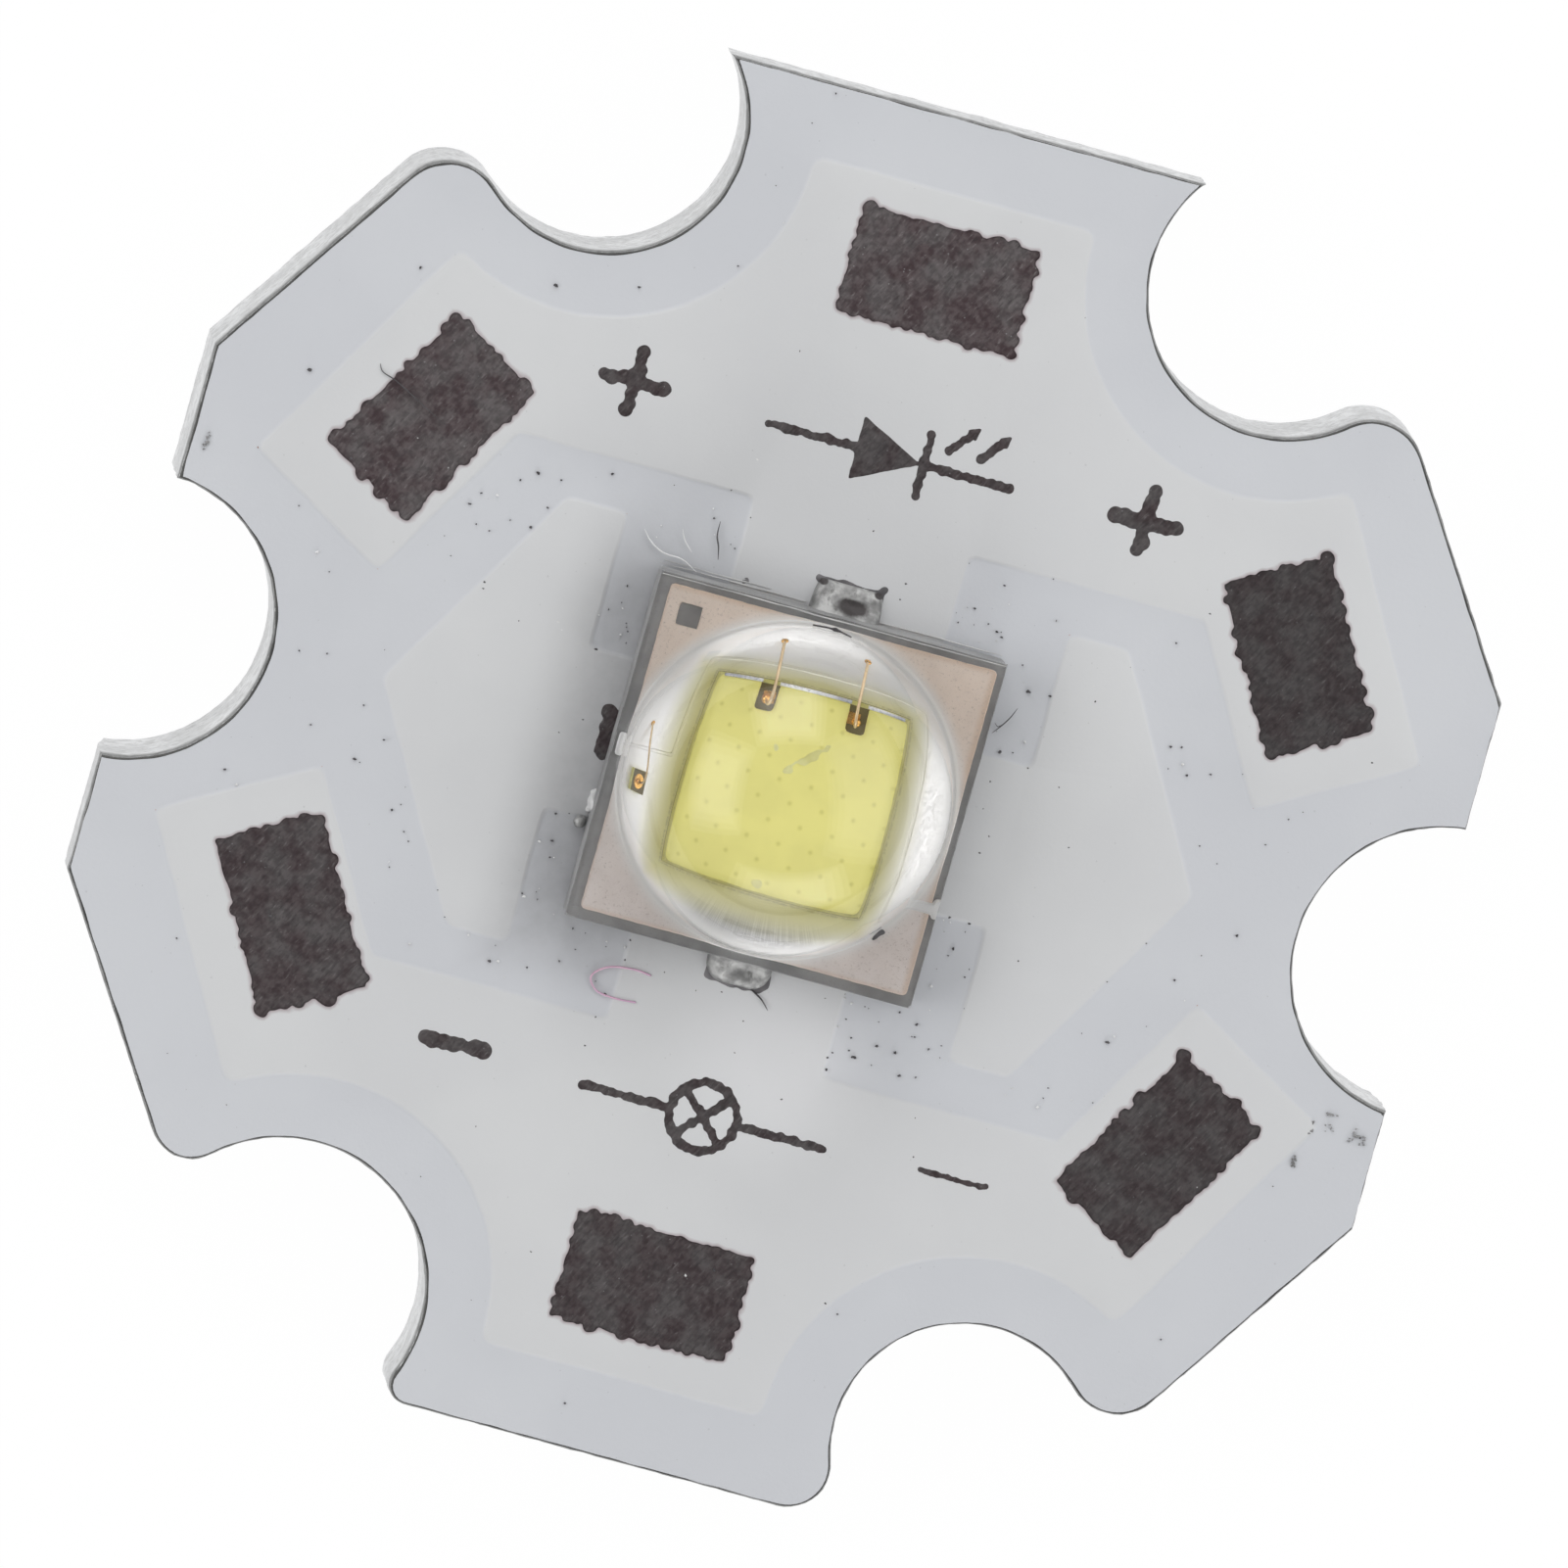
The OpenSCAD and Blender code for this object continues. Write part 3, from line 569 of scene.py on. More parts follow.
def star(sizes, back=0.0, snap=0.0):
    """The board's outline, moved in by back at the routed edges and by snap at the V-cut edges."""
    left = half_star(sizes, -1, back, snap)[-2:0:-1] * (-1, 1)
    return np.vstack([half_star(sizes, 1, back, snap), left])


def inward(loop):
    """Unit directions towards the inside of a counterclockwise loop."""
    along = np.roll(loop, -1, axis=0) - np.roll(loop, 1, axis=0)
    return np.c_[-along[:, 1], along[:, 0]] / np.linalg.norm(along, axis=1)[:, None]


def capped(rings):
    """A wall of rings closed by flat ends that follow their outlines."""
    points, faces = loft(rings, ends=False)
    count = len(rings[0])
    for first, flip in ((0, True), (count * (len(rings) - 1), False)):
        loop = points[first : first + count, :2]
        edges = [(i, (i + 1) % count) for i in range(count)]
        made = delaunay_2d_cdt([Vector(p) for p in loop], edges, [], 1, 1e-9)
        for face in made[2]:
            corners = [first + made[3][i][0] for i in face]
            faces.append(tuple(corners[::-1] if flip else corners))
    return points, faces


def board_walls(sizes, heights, back, bevel, rough):
    """Rings of the board's outline at several heights, with a routed, sandy surface."""
    rings = []
    for z, soft, cut in zip(heights, back, bevel):
        loop = star(sizes, soft, soft + cut)
        spots = np.c_[loop, np.full(len(loop), z)]
        sand = 0.5 + 0.3 * lumps(spots, 0.16, 3) + 0.2 * lumps(spots, 0.07, 4)
        loop = loop + inward(loop) * (rough * np.clip(sand, 0, 1))[:, None]
        rings.append(np.c_[loop, np.full(len(loop), z)])
    return rings


def copper_distance(p):
    """Signed distance to the copper under the mask: two tracks and the thermal wings."""
    p = p - COPPER_SHIFT
    flipped = np.c_[p[:, 0], np.abs(p[:, 1])]
    folded = np.abs(p)
    lobe_corner = (8.6 * unit(30)[0] - 1.93 * 0.5, 8.6 * 0.5 + 1.93 * unit(30)[0])
    bridge = [(0, 3.8), (4.965, 3.8), lobe_corner, (1.93, 8.6), (0, 8.6)]
    track = np.minimum.reduce([
        box_distance(flipped, (0, 6.2), (1.93, 2.4)),
        box_distance(flipped, (0, 2.8), (1.55, 1.3)),
        box_distance(turned(folded, 60), (0, 7.4), (1.93, 1.2)),
        polygon_distance(folded, bridge),
    ])
    notch = np.linalg.norm(folded - 9.75 * unit(60), axis=1) - 2.85
    track = np.maximum(track, -notch)
    wing = [(3.2, -3.1), (4.06, -3.1), (5.85, 0), (4.06, 3.1), (3.2, 3.1)]
    wings = polygon_distance(np.c_[folded[:, 0], p[:, 1]], wing)
    thermal = np.minimum(wings, box_distance(p, (0, 0), (3.3, 1.16)))
    etched = 0.012 * lumps(p, 0.6, 11) + 0.008 * lumps(p, 0.2, 12)
    return np.minimum(track, thermal) + etched


def pad_field(sizes, seed):
    """One wire pad's outline: a rectangle edged by uneven overlapping burnt spots."""
    random = np.random.default_rng(seed)
    spot = sizes.scallop_radius / MM
    across, up = sizes.pad_length / MM / 2 - spot, sizes.pad_width / MM / 2 - spot
    centres = []
    for side in (-1, 1):
        centres += [(x, side * up) for x in np.linspace(-across, across, 16)]
        centres += [(side * across, y) for y in np.linspace(-up, up, 10)[1:-1]]
    centres = np.array(centres) + random.normal(0, 0.028, (len(centres), 2))
    reach = spot * random.uniform(0.55, 1.1, len(centres))

    def distance(p):
        shape = box_distance(p, (0, 0), (across + 0.07, up + 0.07))
        shape = np.minimum(shape, spots_distance(p, zip(centres, reach)))
        return shape + 0.02 * lumps(p, 0.28, seed) + 0.03 * lumps(p, 0.09, seed + 50)

    half = np.array([sizes.pad_length, sizes.pad_width]) / MM / 2 + 0.2
    return Field(-half, half, 0.02, distance, soften=1)


def pad_place(node):
    """Where a wire pad has its middle."""
    lobe, _, play = PADS[node]
    return BURN_SHIFT + PAD_RING * unit(90 + lobe) + play


# How far up and down the plus signs, the minus signs and the symbols lie
PLUS_Y, MINUS_Y, SYMBOL_Y = 4.87, -4.72, 4.8


def lifted(strokes, solids, y):
    """Strokes and solids of a mark, moved up."""
    up = (0, y)
    return [(np.add(a, up), np.add(b, up), half) for a, b, half in strokes], [np.add(s, up) for s in solids]


def mark_shapes():
    """The burnt marks: for each CAD node, strokes as start, end and half width, and solid corners."""
    marks = {}
    for side, name, reach, width in ((-1, "left", 0.42, 0.1), (1, "right", 0.48, 0.038)):
        x, y = side * 3.7, PLUS_Y
        plus = [((x - 0.42, y), (x + 0.42, y), 0.1), ((x, y - 0.43), (x, y + 0.43), 0.1)]
        marks["plus_mark_" + name] = (plus, [])
        x, y = side * 3.6, MINUS_Y
        marks["minus_mark_" + name] = ([((x - reach, y), (x + reach, y), width)], [])
    body, half = 0.495, 0.06
    lines = (((-1.74, 0), (-0.45, 0)), ((body, 0), (1.74, 0)), ((body, -0.44), (body, 0.44)))
    strokes = [(start, end, half) for start, end in lines]
    solids = [[(-body, -body), (body, 0), (-body, body)]]
    for ray in (1.6, 2.5):
        start = np.array([ray * body, 0.6 * body])
        strokes.append((start, start + 0.8 * body * unit(50), half))
        head = body * np.array([(0.7, -0.28), (1.2, 0), (0.7, 0.28)])
        solids.append(turned(head, 50) + start)
    marks["diode_symbol"] = lifted(strokes, solids, SYMBOL_Y)
    ring = [0.48 * unit(a) for a in range(0, 361, 20)]
    strokes = [(a, b, half) for a, b in zip(ring, ring[1:])]
    strokes += [(-0.46 * unit(a), 0.46 * unit(a), half) for a in (45, 135)]
    strokes += [((s * 0.5, 0), (s * 1.74, 0), half) for s in (-1, 1)]
    marks["lamp_symbol"] = lifted(strokes, [], -SYMBOL_Y)
    return marks


def mark_field(strokes, solids, seed):
    """The outline of one burnt mark, made of overlapping spots of uneven size."""
    random = np.random.default_rng(seed)
    spots = []
    for start, end, half in strokes:
        start, end = np.asarray(start, float), np.asarray(end, float)
        for t in np.linspace(0, 1, max(2, round(np.linalg.norm(end - start) / (1.1 * half)))):
            centre = start + t * (end - start) + random.normal(0, 0.16 * half, 2)
            spots.append((centre, half * random.uniform(0.85, 1.3)))
    corners = np.vstack([[centre for centre, _ in spots], *solids])

    def distance(p):
        shapes = [stroke_distance(p, start, end, 0.7 * half) for start, end, half in strokes]
        shapes += [polygon_distance(p, solid) + 0.02 for solid in solids]
        return np.minimum.reduce([*shapes, spots_distance(p, spots)]) + 0.01 * lumps(p, 0.08, seed)

    return Field(corners.min(axis=0) - 0.25, corners.max(axis=0) + 0.25, 0.02, distance, soften=1)


def index_distance(p):
    """Signed distance to the burnt bar beside the package."""
    spots = [(spot, 0.12) for spot in ((-2.65, 0.42), (-2.63, 0.2), (-2.61, -0.01), (-2.58, -0.13))]
    shape = np.minimum(spots_distance(p, spots), box_distance(p, (-2.6, 0.15), (0.12, 0.33)))
    return shape + 0.02 * lumps(p, 0.07, 77)


# ---- Shader parts


class Nodes:
    """A shader tree that is being filled. Its spot is the place on the surface, in millimetres."""

    spot = None

    def __init__(self, tree):
        self.tree = tree

    def feed(self, socket, value):
        """Links a value's socket to an input, or sets the input to a plain value."""
        if isinstance(value, bpy.types.NodeSocket):
            self.tree.links.new(value, socket)
        else:
            socket.default_value = (*value[:3], 1) if socket.type == "RGBA" else value

    def node(self, kind, links=None, **settings):
        """A node with its settings, and its inputs given as plain values or as sockets to link."""
        made = self.tree.nodes.new("ShaderNode" + kind)
        for key, value in settings.items():
            setattr(made, key, value)
        for key, value in (links or {}).items():
            self.feed(made.inputs[key], value)
        return made

    def math(self, operation, a, b=0.0, clamp=False):
        """The result of a math node."""
        return self.node("Math", {0: a, 1: b}, operation=operation, use_clamp=clamp).outputs[0]

    def times(self, *values):
        """The product of values."""
        return reduce(lambda a, b: self.math("MULTIPLY", a, b), values)

    def less(self, a, b):
        """The first value less the second."""
        return self.math("SUBTRACT", a, b)

    def ramp(self, value, start, end, to_start=0.0, to_end=1.0):
        """A value led smoothly from one range to another."""
        limits = {"Value": value, "From Min": start, "From Max": end, "To Min": to_start, "To Max": to_end}
        return self.node("MapRange", limits, interpolation_type="SMOOTHSTEP").outputs[0]

    def mix(self, factor, a, b, blend="MIX"):
        """Two colours mixed."""
        return self.node("Mix", {0: factor, 6: a, 7: b}, data_type="RGBA", blend_type=blend).outputs[2]

    def tint(self, base, colour, *factors):
        """A colour laid over a base by the product of factors."""
        return self.mix(self.times(*factors), base, colour)

    def parts(self, vector=None):
        """The three parts of a vector, or of the place on the surface."""
        return list(self.node("SeparateXYZ", {0: vector or self.spot}).outputs)

    def vector(self, x, y, z=0.0):
        """A vector from its parts."""
        return self.node("CombineXYZ", {0: x, 1: y, 2: z}).outputs[0]

    def length(self, x, y):
        """The length of a flat vector."""
        return self.node("VectorMath", {0: self.vector(x, y)}, operation="LENGTH").outputs["Value"]

    def scaled(self, vector, scale):
        """A vector times a number."""
        return self.node("VectorMath", {0: vector, "Scale": scale}, operation="SCALE").outputs[0]

    def noise(self, vector, scale, detail, roughness=0.5):
        """Cloudy noise."""
        given = {"Vector": vector, "Scale": scale, "Detail": detail, "Roughness": roughness}
        return self.node("TexNoise", given).outputs[0]

    def effect(self, name, *values, vector=None):
        """A shared effect's outputs. Its group is built once and placed here with values of its own."""
        group = bpy.data.node_groups.get(name) or EFFECTS[name]()
        made = self.node("Group", node_tree=group)
        for socket, value in zip(made.inputs, (vector or self.spot, *values)):
            self.feed(socket, value)
        return made.outputs

    def grain(self, size, stretch=1.0, vector=None):
        """An uneven height and a mask of its hollows."""
        return self.effect("Fine Grain", size, stretch, vector=vector)

    def specks(self, size, share, radius):
        """A mask of small scattered dots."""
        return self.effect("Specks", size, share, radius)["Mask"]

    def clouds(self, size, first, second):
        """Soft clouds between two colours."""
        return self.effect("Clouds", size, first, second)["Colour"]

    def away(self, middle):
        """A spot's distances from a square's middle."""
        return self.effect("Square Distance", middle[0], middle[1])


EFFECTS = {}


def effect(name, inputs, outputs):
    """Keeps a function that works out a shared effect. Its group is built when it is first placed."""

    def keep(work):
        def build():
            tree = bpy.data.node_groups.new(name, "ShaderNodeTree")
            for way, sockets in (("INPUT", ("Vector", *inputs)), ("OUTPUT", outputs)):
                for socket in sockets:
                    kind = {"Vector": "Vector", "Colour": "Color"}.get(socket.split()[-1], "Float")
                    tree.interface.new_socket(name=socket, in_out=way, socket_type="NodeSocket" + kind)
            given = tree.nodes.new("NodeGroupInput").outputs
            out = tree.nodes.new("NodeGroupOutput").inputs
            nodes = Nodes(tree)
            for socket, value in zip(out, work(nodes, *given[: len(inputs) + 1])):
                nodes.feed(socket, value)
            return tree

        EFFECTS[name] = build
        return work

    return keep


@effect("Fine Grain", ("Size", "Stretch"), ("Height", "Hollows"))
def fine_grain(n, vector, size, stretch):
    """An uneven height and a mask of its hollows."""
    x, y, z = n.parts(n.scaled(vector, size))
    noise = n.noise(n.vector(x, n.times(y, stretch), z), 1.0, 4.0, 0.6)
    return noise, n.ramp(noise, 0.45, 0.3)


@effect("Specks", ("Size", "Share", "Radius"), ("Mask",))
def specks(n, vector, size, share, radius):
    """Small scattered round dots, of which a share is kept."""
    cells = n.node("TexVoronoi", {"Vector": vector, "Scale": size}).outputs
    kept = n.math("LESS_THAN", n.node("SeparateColor", {0: cells["Color"]}).outputs[0], share)
    return (n.times(kept, n.math("MULTIPLY", n.less(radius, cells["Distance"]), 12.0, clamp=True)),)


@effect("Clouds", ("Size", "First Colour", "Second Colour"), ("Colour", "Mask"))
def clouds(n, vector, size, first, second):
    """Soft clouds between two colours."""
    mask = n.ramp(n.noise(vector, size, 3.0), 0.35, 0.65)
    return n.mix(mask, first, second), mask


@effect("Radial Streaks", ("Middle X", "Middle Y", "Count"), ("Mask",))
def radial_streaks(n, vector, middle_x, middle_y, count):
    """Fine streaks that point away from a middle, below it."""
    x, y, _ = n.parts(vector)
    x, y = n.less(x, middle_x), n.less(y, middle_y)
    angle = n.times(n.math("ARCTAN2", x, n.times(y, -1.0)), count)
    noise = n.noise(n.vector(angle, n.length(x, y)), 1.0, 2.0)
    return (n.times(n.ramp(noise, 0.45, 0.62), n.ramp(y, -0.6, -1.2)),)


@effect("Square Distance", ("Middle X", "Middle Y"), ("Square", "Round"))
def square_distance(n, vector, middle_x, middle_y):
    """Distance from a square's middle, by its larger side, and the round distance."""
    x, y, _ = n.parts(vector)
    x, y = n.less(x, middle_x), n.less(y, middle_y)
    return n.math("MAXIMUM", n.math("ABSOLUTE", x), n.math("ABSOLUTE", y)), n.length(x, y)


@effect("Dot Grid", ("Pitch X", "Pitch Y", "Radius"), ("Mask",))
def dot_grid(n, vector, pitch_x, pitch_y, radius):
    """Staggered rows of small dots."""
    x, y, _ = n.parts(vector)
    rows = []
    for shift in (0.0, 0.5):
        sides = []
        for part, pitch in ((x, pitch_x), (y, pitch_y)):
            moved = n.math("ADD", n.math("DIVIDE", part, pitch), 100.0 + shift)
            sides.append(n.times(n.less(n.math("FRACT", moved), 0.5), pitch))
        rows.append(n.length(*sides))
    return (n.ramp(n.math("DIVIDE", n.math("MINIMUM", *rows), radius), 1.0, 0.0),)


class Surface(Nodes):
    """A new material's nodes, with its surface shader's inputs."""

    def __init__(self, name, roughness, metallic=0.0, **plain):
        self.material = bpy.data.materials.new(name)
        self.material.use_nodes = True
        super().__init__(self.material.node_tree)
        self.shader = self.tree.nodes["Principled BSDF"].inputs
        for key, value in {"Roughness": roughness, "Metallic": metallic, **plain}.items():
            self.shader[key.replace("_", " ")].default_value = value
        self.spot = self.scaled(self.node("TexCoord").outputs["Object"], 1 / MM)

    def mask(self, name):
        """A mesh's own mask."""
        return self.node("Attribute", attribute_name=name).outputs["Fac"]

    def upward(self):
        """How far the surface faces up, from -1 to 1."""
        return self.parts(self.node("NewGeometry").outputs["True Normal"])[2]

    def lead(self, colour, height=None, strength=1.0, distance=0.01, **others):
        """Leads a colour, a bump (its distance in millimetres) and other values to the shader."""
        self.feed(self.shader["Base Color"], colour)
        if height:
            bump = self.node("Bump", {"Strength": strength, "Distance": distance * MM, "Height": height})
            self.feed(self.shader["Normal"], bump.outputs[0])
        for key, value in others.items():
            self.feed(self.shader[key], value)


def made_once(name, roughness, metallic=0.0, **plain):
    """Makes a function that dresses a surface into one that gives its material, made once."""

    def made_by(dress):
        def material(colours):
            if name not in bpy.data.materials:
                dress(Surface(name, roughness, metallic, **plain), colours)
            return bpy.data.materials[name]

        return material

    return made_by


# ---- Finishes


def shaded(colour, share):
    """A colour made darker or lighter."""
    return tuple(min(1, c * share) for c in colour)


# For each grained finish its colour, the darker one in its clouds or the share that darkens it, and its
# roughness, metallic, fineness of grain and strength of relief
GRAINED = {
    "insulating film": ("film", 0.55, 0.6, 0.0, 14.0, 0.4),
    "etched copper": ("copper", 0.7, 0.4, 1.0, 12.0, 0.3),
    "ceramic": ("ceramic", 0.75, 0.55, 0.0, 20.0, 0.3),
    "gap filling": ("filling", 0.94, 0.5, 0.0, 16.0, 0.2),
    "gold": ("gold", 0.7, 0.28, 1.0, 24.0, 0.2),
    "gold wire": ("wire", 0.8, 0.35, 0.8, 24.0, 0.2),
    "die solder": (tone(176, 166, 122), tone(120, 112, 84), 0.4, 0.5, 20.0, 0.3),
    # A pale finish for the painted highlight along the die's edge
    "shiny edge": (tone(252), tone(170, 170, 180), 0.3, 0.1, 30.0, 0.3),
    "scuffed silicone": (tone(236, 233, 168), tone(216, 210, 128), 0.5, 0.0, 30.0, 0.4),
    # Dark flux round the solder joints, whose ring round each joint is painted shadow
    "burnt flux": (tone(122, 120, 122), tone(78, 76, 78), 0.55, 0.0, 20.0, 0.4),
    # Pale flux threads that also stand as painted highlights of the package's edges
    "flux residue": (tone(205, 205, 203), tone(170), 0.5, 0.0, 14.0, 0.6),
    "dust": (tone(88, 86, 88), tone(60, 58, 60), 0.8, 0.0, 20.0, 0.4),
    "pale dust": (tone(226), tone(204), 0.6, 0.0, 20.0, 0.4),
    "smudged dust": (tone(150), tone(112), 0.8, 0.0, 20.0, 0.4),
    "pink fibre": (tone(214, 176, 196), tone(196, 160, 186), 0.5, 0.0, 20.0, 0.2),
}


def grained(name, colours):
    """A grained finish of one colour that clouds over to a darker one, made once."""
    if name in bpy.data.materials:
        return bpy.data.materials[name]
    colour, darker, roughness, metallic, size, strength = GRAINED[name]
    if isinstance(colour, str):
        colour = getattr(colours, colour)
        darker = shaded(colour, darker)
    s = Surface(name, roughness, metallic)
    grain = s.grain(size)
    base = s.tint(s.clouds(size / 12, colour, darker), darker, grain["Hollows"], 0.5)
    rough = s.ramp(grain["Height"], 0.3, 0.7, roughness - 0.06, roughness + 0.06)
    s.lead(base, grain["Height"], strength, Roughness=rough)
    return s.material


@made_once("satin white mask", 0.42)
def mask_finish(s, colours):
    """Satin white mask: bluish on the bare film, warmer over copper, with a painted shadow round the package
    and a painted pool of light below it.
    """
    side, up, height = s.parts()
    base = s.mix(s.ramp(height, LOW_MASK_TOP + 0.004, MASK_TOP - 0.004), colours.mask, colours.mask_raised)
    base = s.mix(1.0, base, s.clouds(0.35, (1, 1, 1), (0.965, 0.965, 0.97)), "MULTIPLY")
    # Painted shadow of the package on the mask: darker close round it, darkest on its left and fainter above
    # it.
    base = s.tint(
        base, tone(142, 142, 144),
        s.ramp(s.away(PACKAGE)["Square"], s.ramp(side, -2.6, 0.5, 3.9, 3.0), 2.4),
        s.ramp(s.grain(4.5)["Height"], 0.3, 0.7, 0.85, 1.0),
        s.ramp(side, -2.7, 0.3, 0.72, 0.08),
        s.ramp(up, 3.4, 1.6, 0.35, 1.0),
    )
    for size, radius, level in ((5.0, 0.1, 0.3), (11.0, 0.13, 0.35)):
        base = s.tint(base, tone(128, 128, 130), s.specks(size, 0.05, radius), level)
    # Painted light: a pale patch on the mask below the package, where the dome throws light onto it.
    base = s.tint(base, tone(236, 236, 238), s.ramp(s.away((0.8, -3.7))["Round"], 1.9, 0.2, 0.0, 0.42))
    base = s.tint(base, tone(150, 134, 138), s.mask("scorch"))
    height = s.grain(14.0)["Height"]
    s.lead(base, height, 0.25, Roughness=s.ramp(height, 0.3, 0.7, 0.36, 0.48))


@made_once("charred laminate", 0.62)
def char_finish(s, colours):
    """Burnt laminate: brown and grey blotches, short fibres and glints, as pale as the mesh's shade."""
    blot = s.clouds(2.6, tone(64, 38, 44), tone(96, 90, 91))
    base = s.mix(0.4, blot, s.clouds(12.0, colours.char_dark, colours.char_light))
    slanted = s.node("Mapping", {"Vector": s.spot, "Rotation": (0, 0, math.radians(28))}).outputs[0]
    fibre = s.grain(26.0, 0.22, slanted)
    base = s.tint(base, tone(128, 122, 122), s.ramp(fibre["Height"], 0.58, 0.75))
    base = s.tint(base, tone(44, 38, 40), fibre["Hollows"], 0.6)
    base = s.tint(base, tone(190, 190, 192), s.specks(13.0, 0.14, 0.16), 0.45)
    level = s.ramp(s.mask("shade"), 0.0, 1.0, 0.38, 0.76)
    lit = s.node("CombineColor", {0: level, 1: level, 2: level}).outputs[0]
    base = s.mix(1.0, base, lit, "MULTIPLY")
    s.lead(base, fibre["Height"], 0.8, 0.02, Roughness=s.ramp(fibre["Height"], 0.4, 0.7, 0.75, 0.4))


@made_once("routed aluminium", 0.4, 1.0)
def routed_finish(s, colours):
    """Routed aluminium: sandy walls with bright grains and painted shade darkening them towards the top, and
    brushed faces.
    """
    sand, brushed = s.grain(9.0)["Height"], s.grain(16.0, 0.06)["Height"]
    flat = s.ramp(s.math("ABSOLUTE", s.upward()), 0.8, 0.95)
    base = s.clouds(1.2, colours.aluminium, shaded(colours.aluminium, 0.82))
    base = s.tint(base, tone(150), s.ramp(sand, 0.62, 0.3, 0.0, 0.6))
    base = s.tint(base, tone(252), s.specks(10.0, 0.3, 0.34), 0.22)
    # Painted shade on the walls just below the film's edge: darker towards the top.
    base = s.tint(base, tone(84, 84, 82), s.ramp(s.parts()[2], 1.62, 1.88), s.less(1.0, flat), 0.6)
    uneven = s.node("Mix", {0: flat, 2: sand, 3: brushed}, data_type="FLOAT").outputs[0]
    s.lead(base, uneven, 1.0, 0.04, Roughness=s.ramp(sand, 0.3, 0.7, 0.3, 0.55))


@made_once("silver plate", 0.42, 1.0)
def plate_finish(s, colours):
    """Silver plate: tarnished outside the dome, painted brighter and whiter under it for the light that the
    dome gathers, and streaked there, tinted next to the die with painted shade at its foot.
    """
    x, up, _ = s.parts()
    near, fine = s.away(PACKAGE), s.grain(30.0)
    old = s.mix(s.ramp(up, -1.2, 2.0), colours.tarnish_low, colours.tarnish)
    old = s.mix(1.0, old, s.clouds(3.0, (1, 1, 1), (0.955, 0.95, 0.945)), "MULTIPLY")
    old = s.tint(old, tone(222, 188, 158), s.ramp(near["Square"], 2.26, 2.375), 0.5)
    old = s.tint(old, tone(132, 118, 106), s.specks(15.0, 0.3, 0.18), 0.35)
    old = s.tint(old, tone(250, 246, 240), s.specks(11.0, 0.14, 0.13), 0.6)
    old = s.tint(old, tone(180, 166, 154), fine["Hollows"], 0.35)
    # Painted light: under the dome the plate is painted brighter and whiter, for the light that the dome
    # gathers.
    outside = s.ramp(near["Round"], 2.3, 2.56)
    worn = s.times(
        s.ramp(up, -0.95, -1.1), s.ramp(near["Round"], 1.75, 1.4), s.ramp(s.math("ABSOLUTE", x), 1.15, 0.5)
    )
    base = s.tint(s.mix(outside, colours.plated, old), tone(112, 112, 115), worn, 0.72)
    base = s.tint(base, tone(244), s.effect("Radial Streaks", *PACKAGE, 230.0)["Mask"], worn, 0.35)
    halo = s.ramp(s.away(PACKAGE - (0.05, 0.08))["Square"], 1.45, 1.0)
    # The metal next to the die takes the phosphor's tint, and a thin dark ring at the die's foot is painted
    # shade.
    base = s.tint(
        s.tint(base, colours.glow, halo), tone(112, 106, 72),
        s.ramp(near["Square"], 1.03, 1.04), s.ramp(near["Square"], 1.06, 1.05),
        s.ramp(fine["Height"], 0.45, 0.6, 0.22, 0.0),
    )
    metal = s.times(s.less(1.0, outside), s.less(1.0, halo))
    rough = s.ramp(fine["Height"], 0.3, 0.7, 0.4, 0.52)
    s.lead(base, fine["Height"], 0.3, 0.004, Metallic=s.ramp(metal, 0.0, 1.0, 0.08, 0.6), Roughness=rough)


@made_once("dotted phosphor", 0.55, Specular_IOR_Level=0.2)
def phosphor_finish(s, colours):
    """Phosphor in silicone: yellow, with faint staggered dots and soft blotches."""
    base = s.clouds(2.5, colours.phosphor, shaded(colours.phosphor, 0.95))
    base = s.tint(base, tone(196, 188, 90), s.effect("Dot Grid", 0.32, 0.406, 0.04)["Mask"], 0.4)
    base = s.tint(base, tone(220, 214, 112), s.ramp(s.away(PACKAGE)["Square"], 0.92, 1.02, 0.0, 0.3))
    s.lead(base, s.grain(18.0)["Height"], 0.15, 0.005)


@made_once("sawn silicon", 0.4, 0.1)
def silicon_finish(s, colours):
    """Silicon: pale sides, and a yellowish top that is brown at the bond pads and the diode."""
    x, y, _ = s.parts()
    middle = s.less(x, PACKAGE[0] + sum(SLOTS) / 2)
    away = s.less(s.math("ABSOLUTE", middle), (SLOTS[1] - SLOTS[0]) / 2)
    slot = s.times(s.ramp(s.math("ABSOLUTE", away), 0.14, 0.11), s.ramp(y, 0.5, 0.55))
    brown = s.math("MAXIMUM", slot, s.ramp(x, -1.2, -1.3))
    top = s.mix(brown, tone(198, 192, 118), tone(112, 100, 58))
    grain = s.grain(20.0)
    base = s.tint(colours.silicon, top, s.ramp(s.upward(), 0.5, 0.9))
    s.lead(s.tint(base, tone(74, 70, 60), grain["Hollows"], 0.3), grain["Height"], 0.1, 0.003)


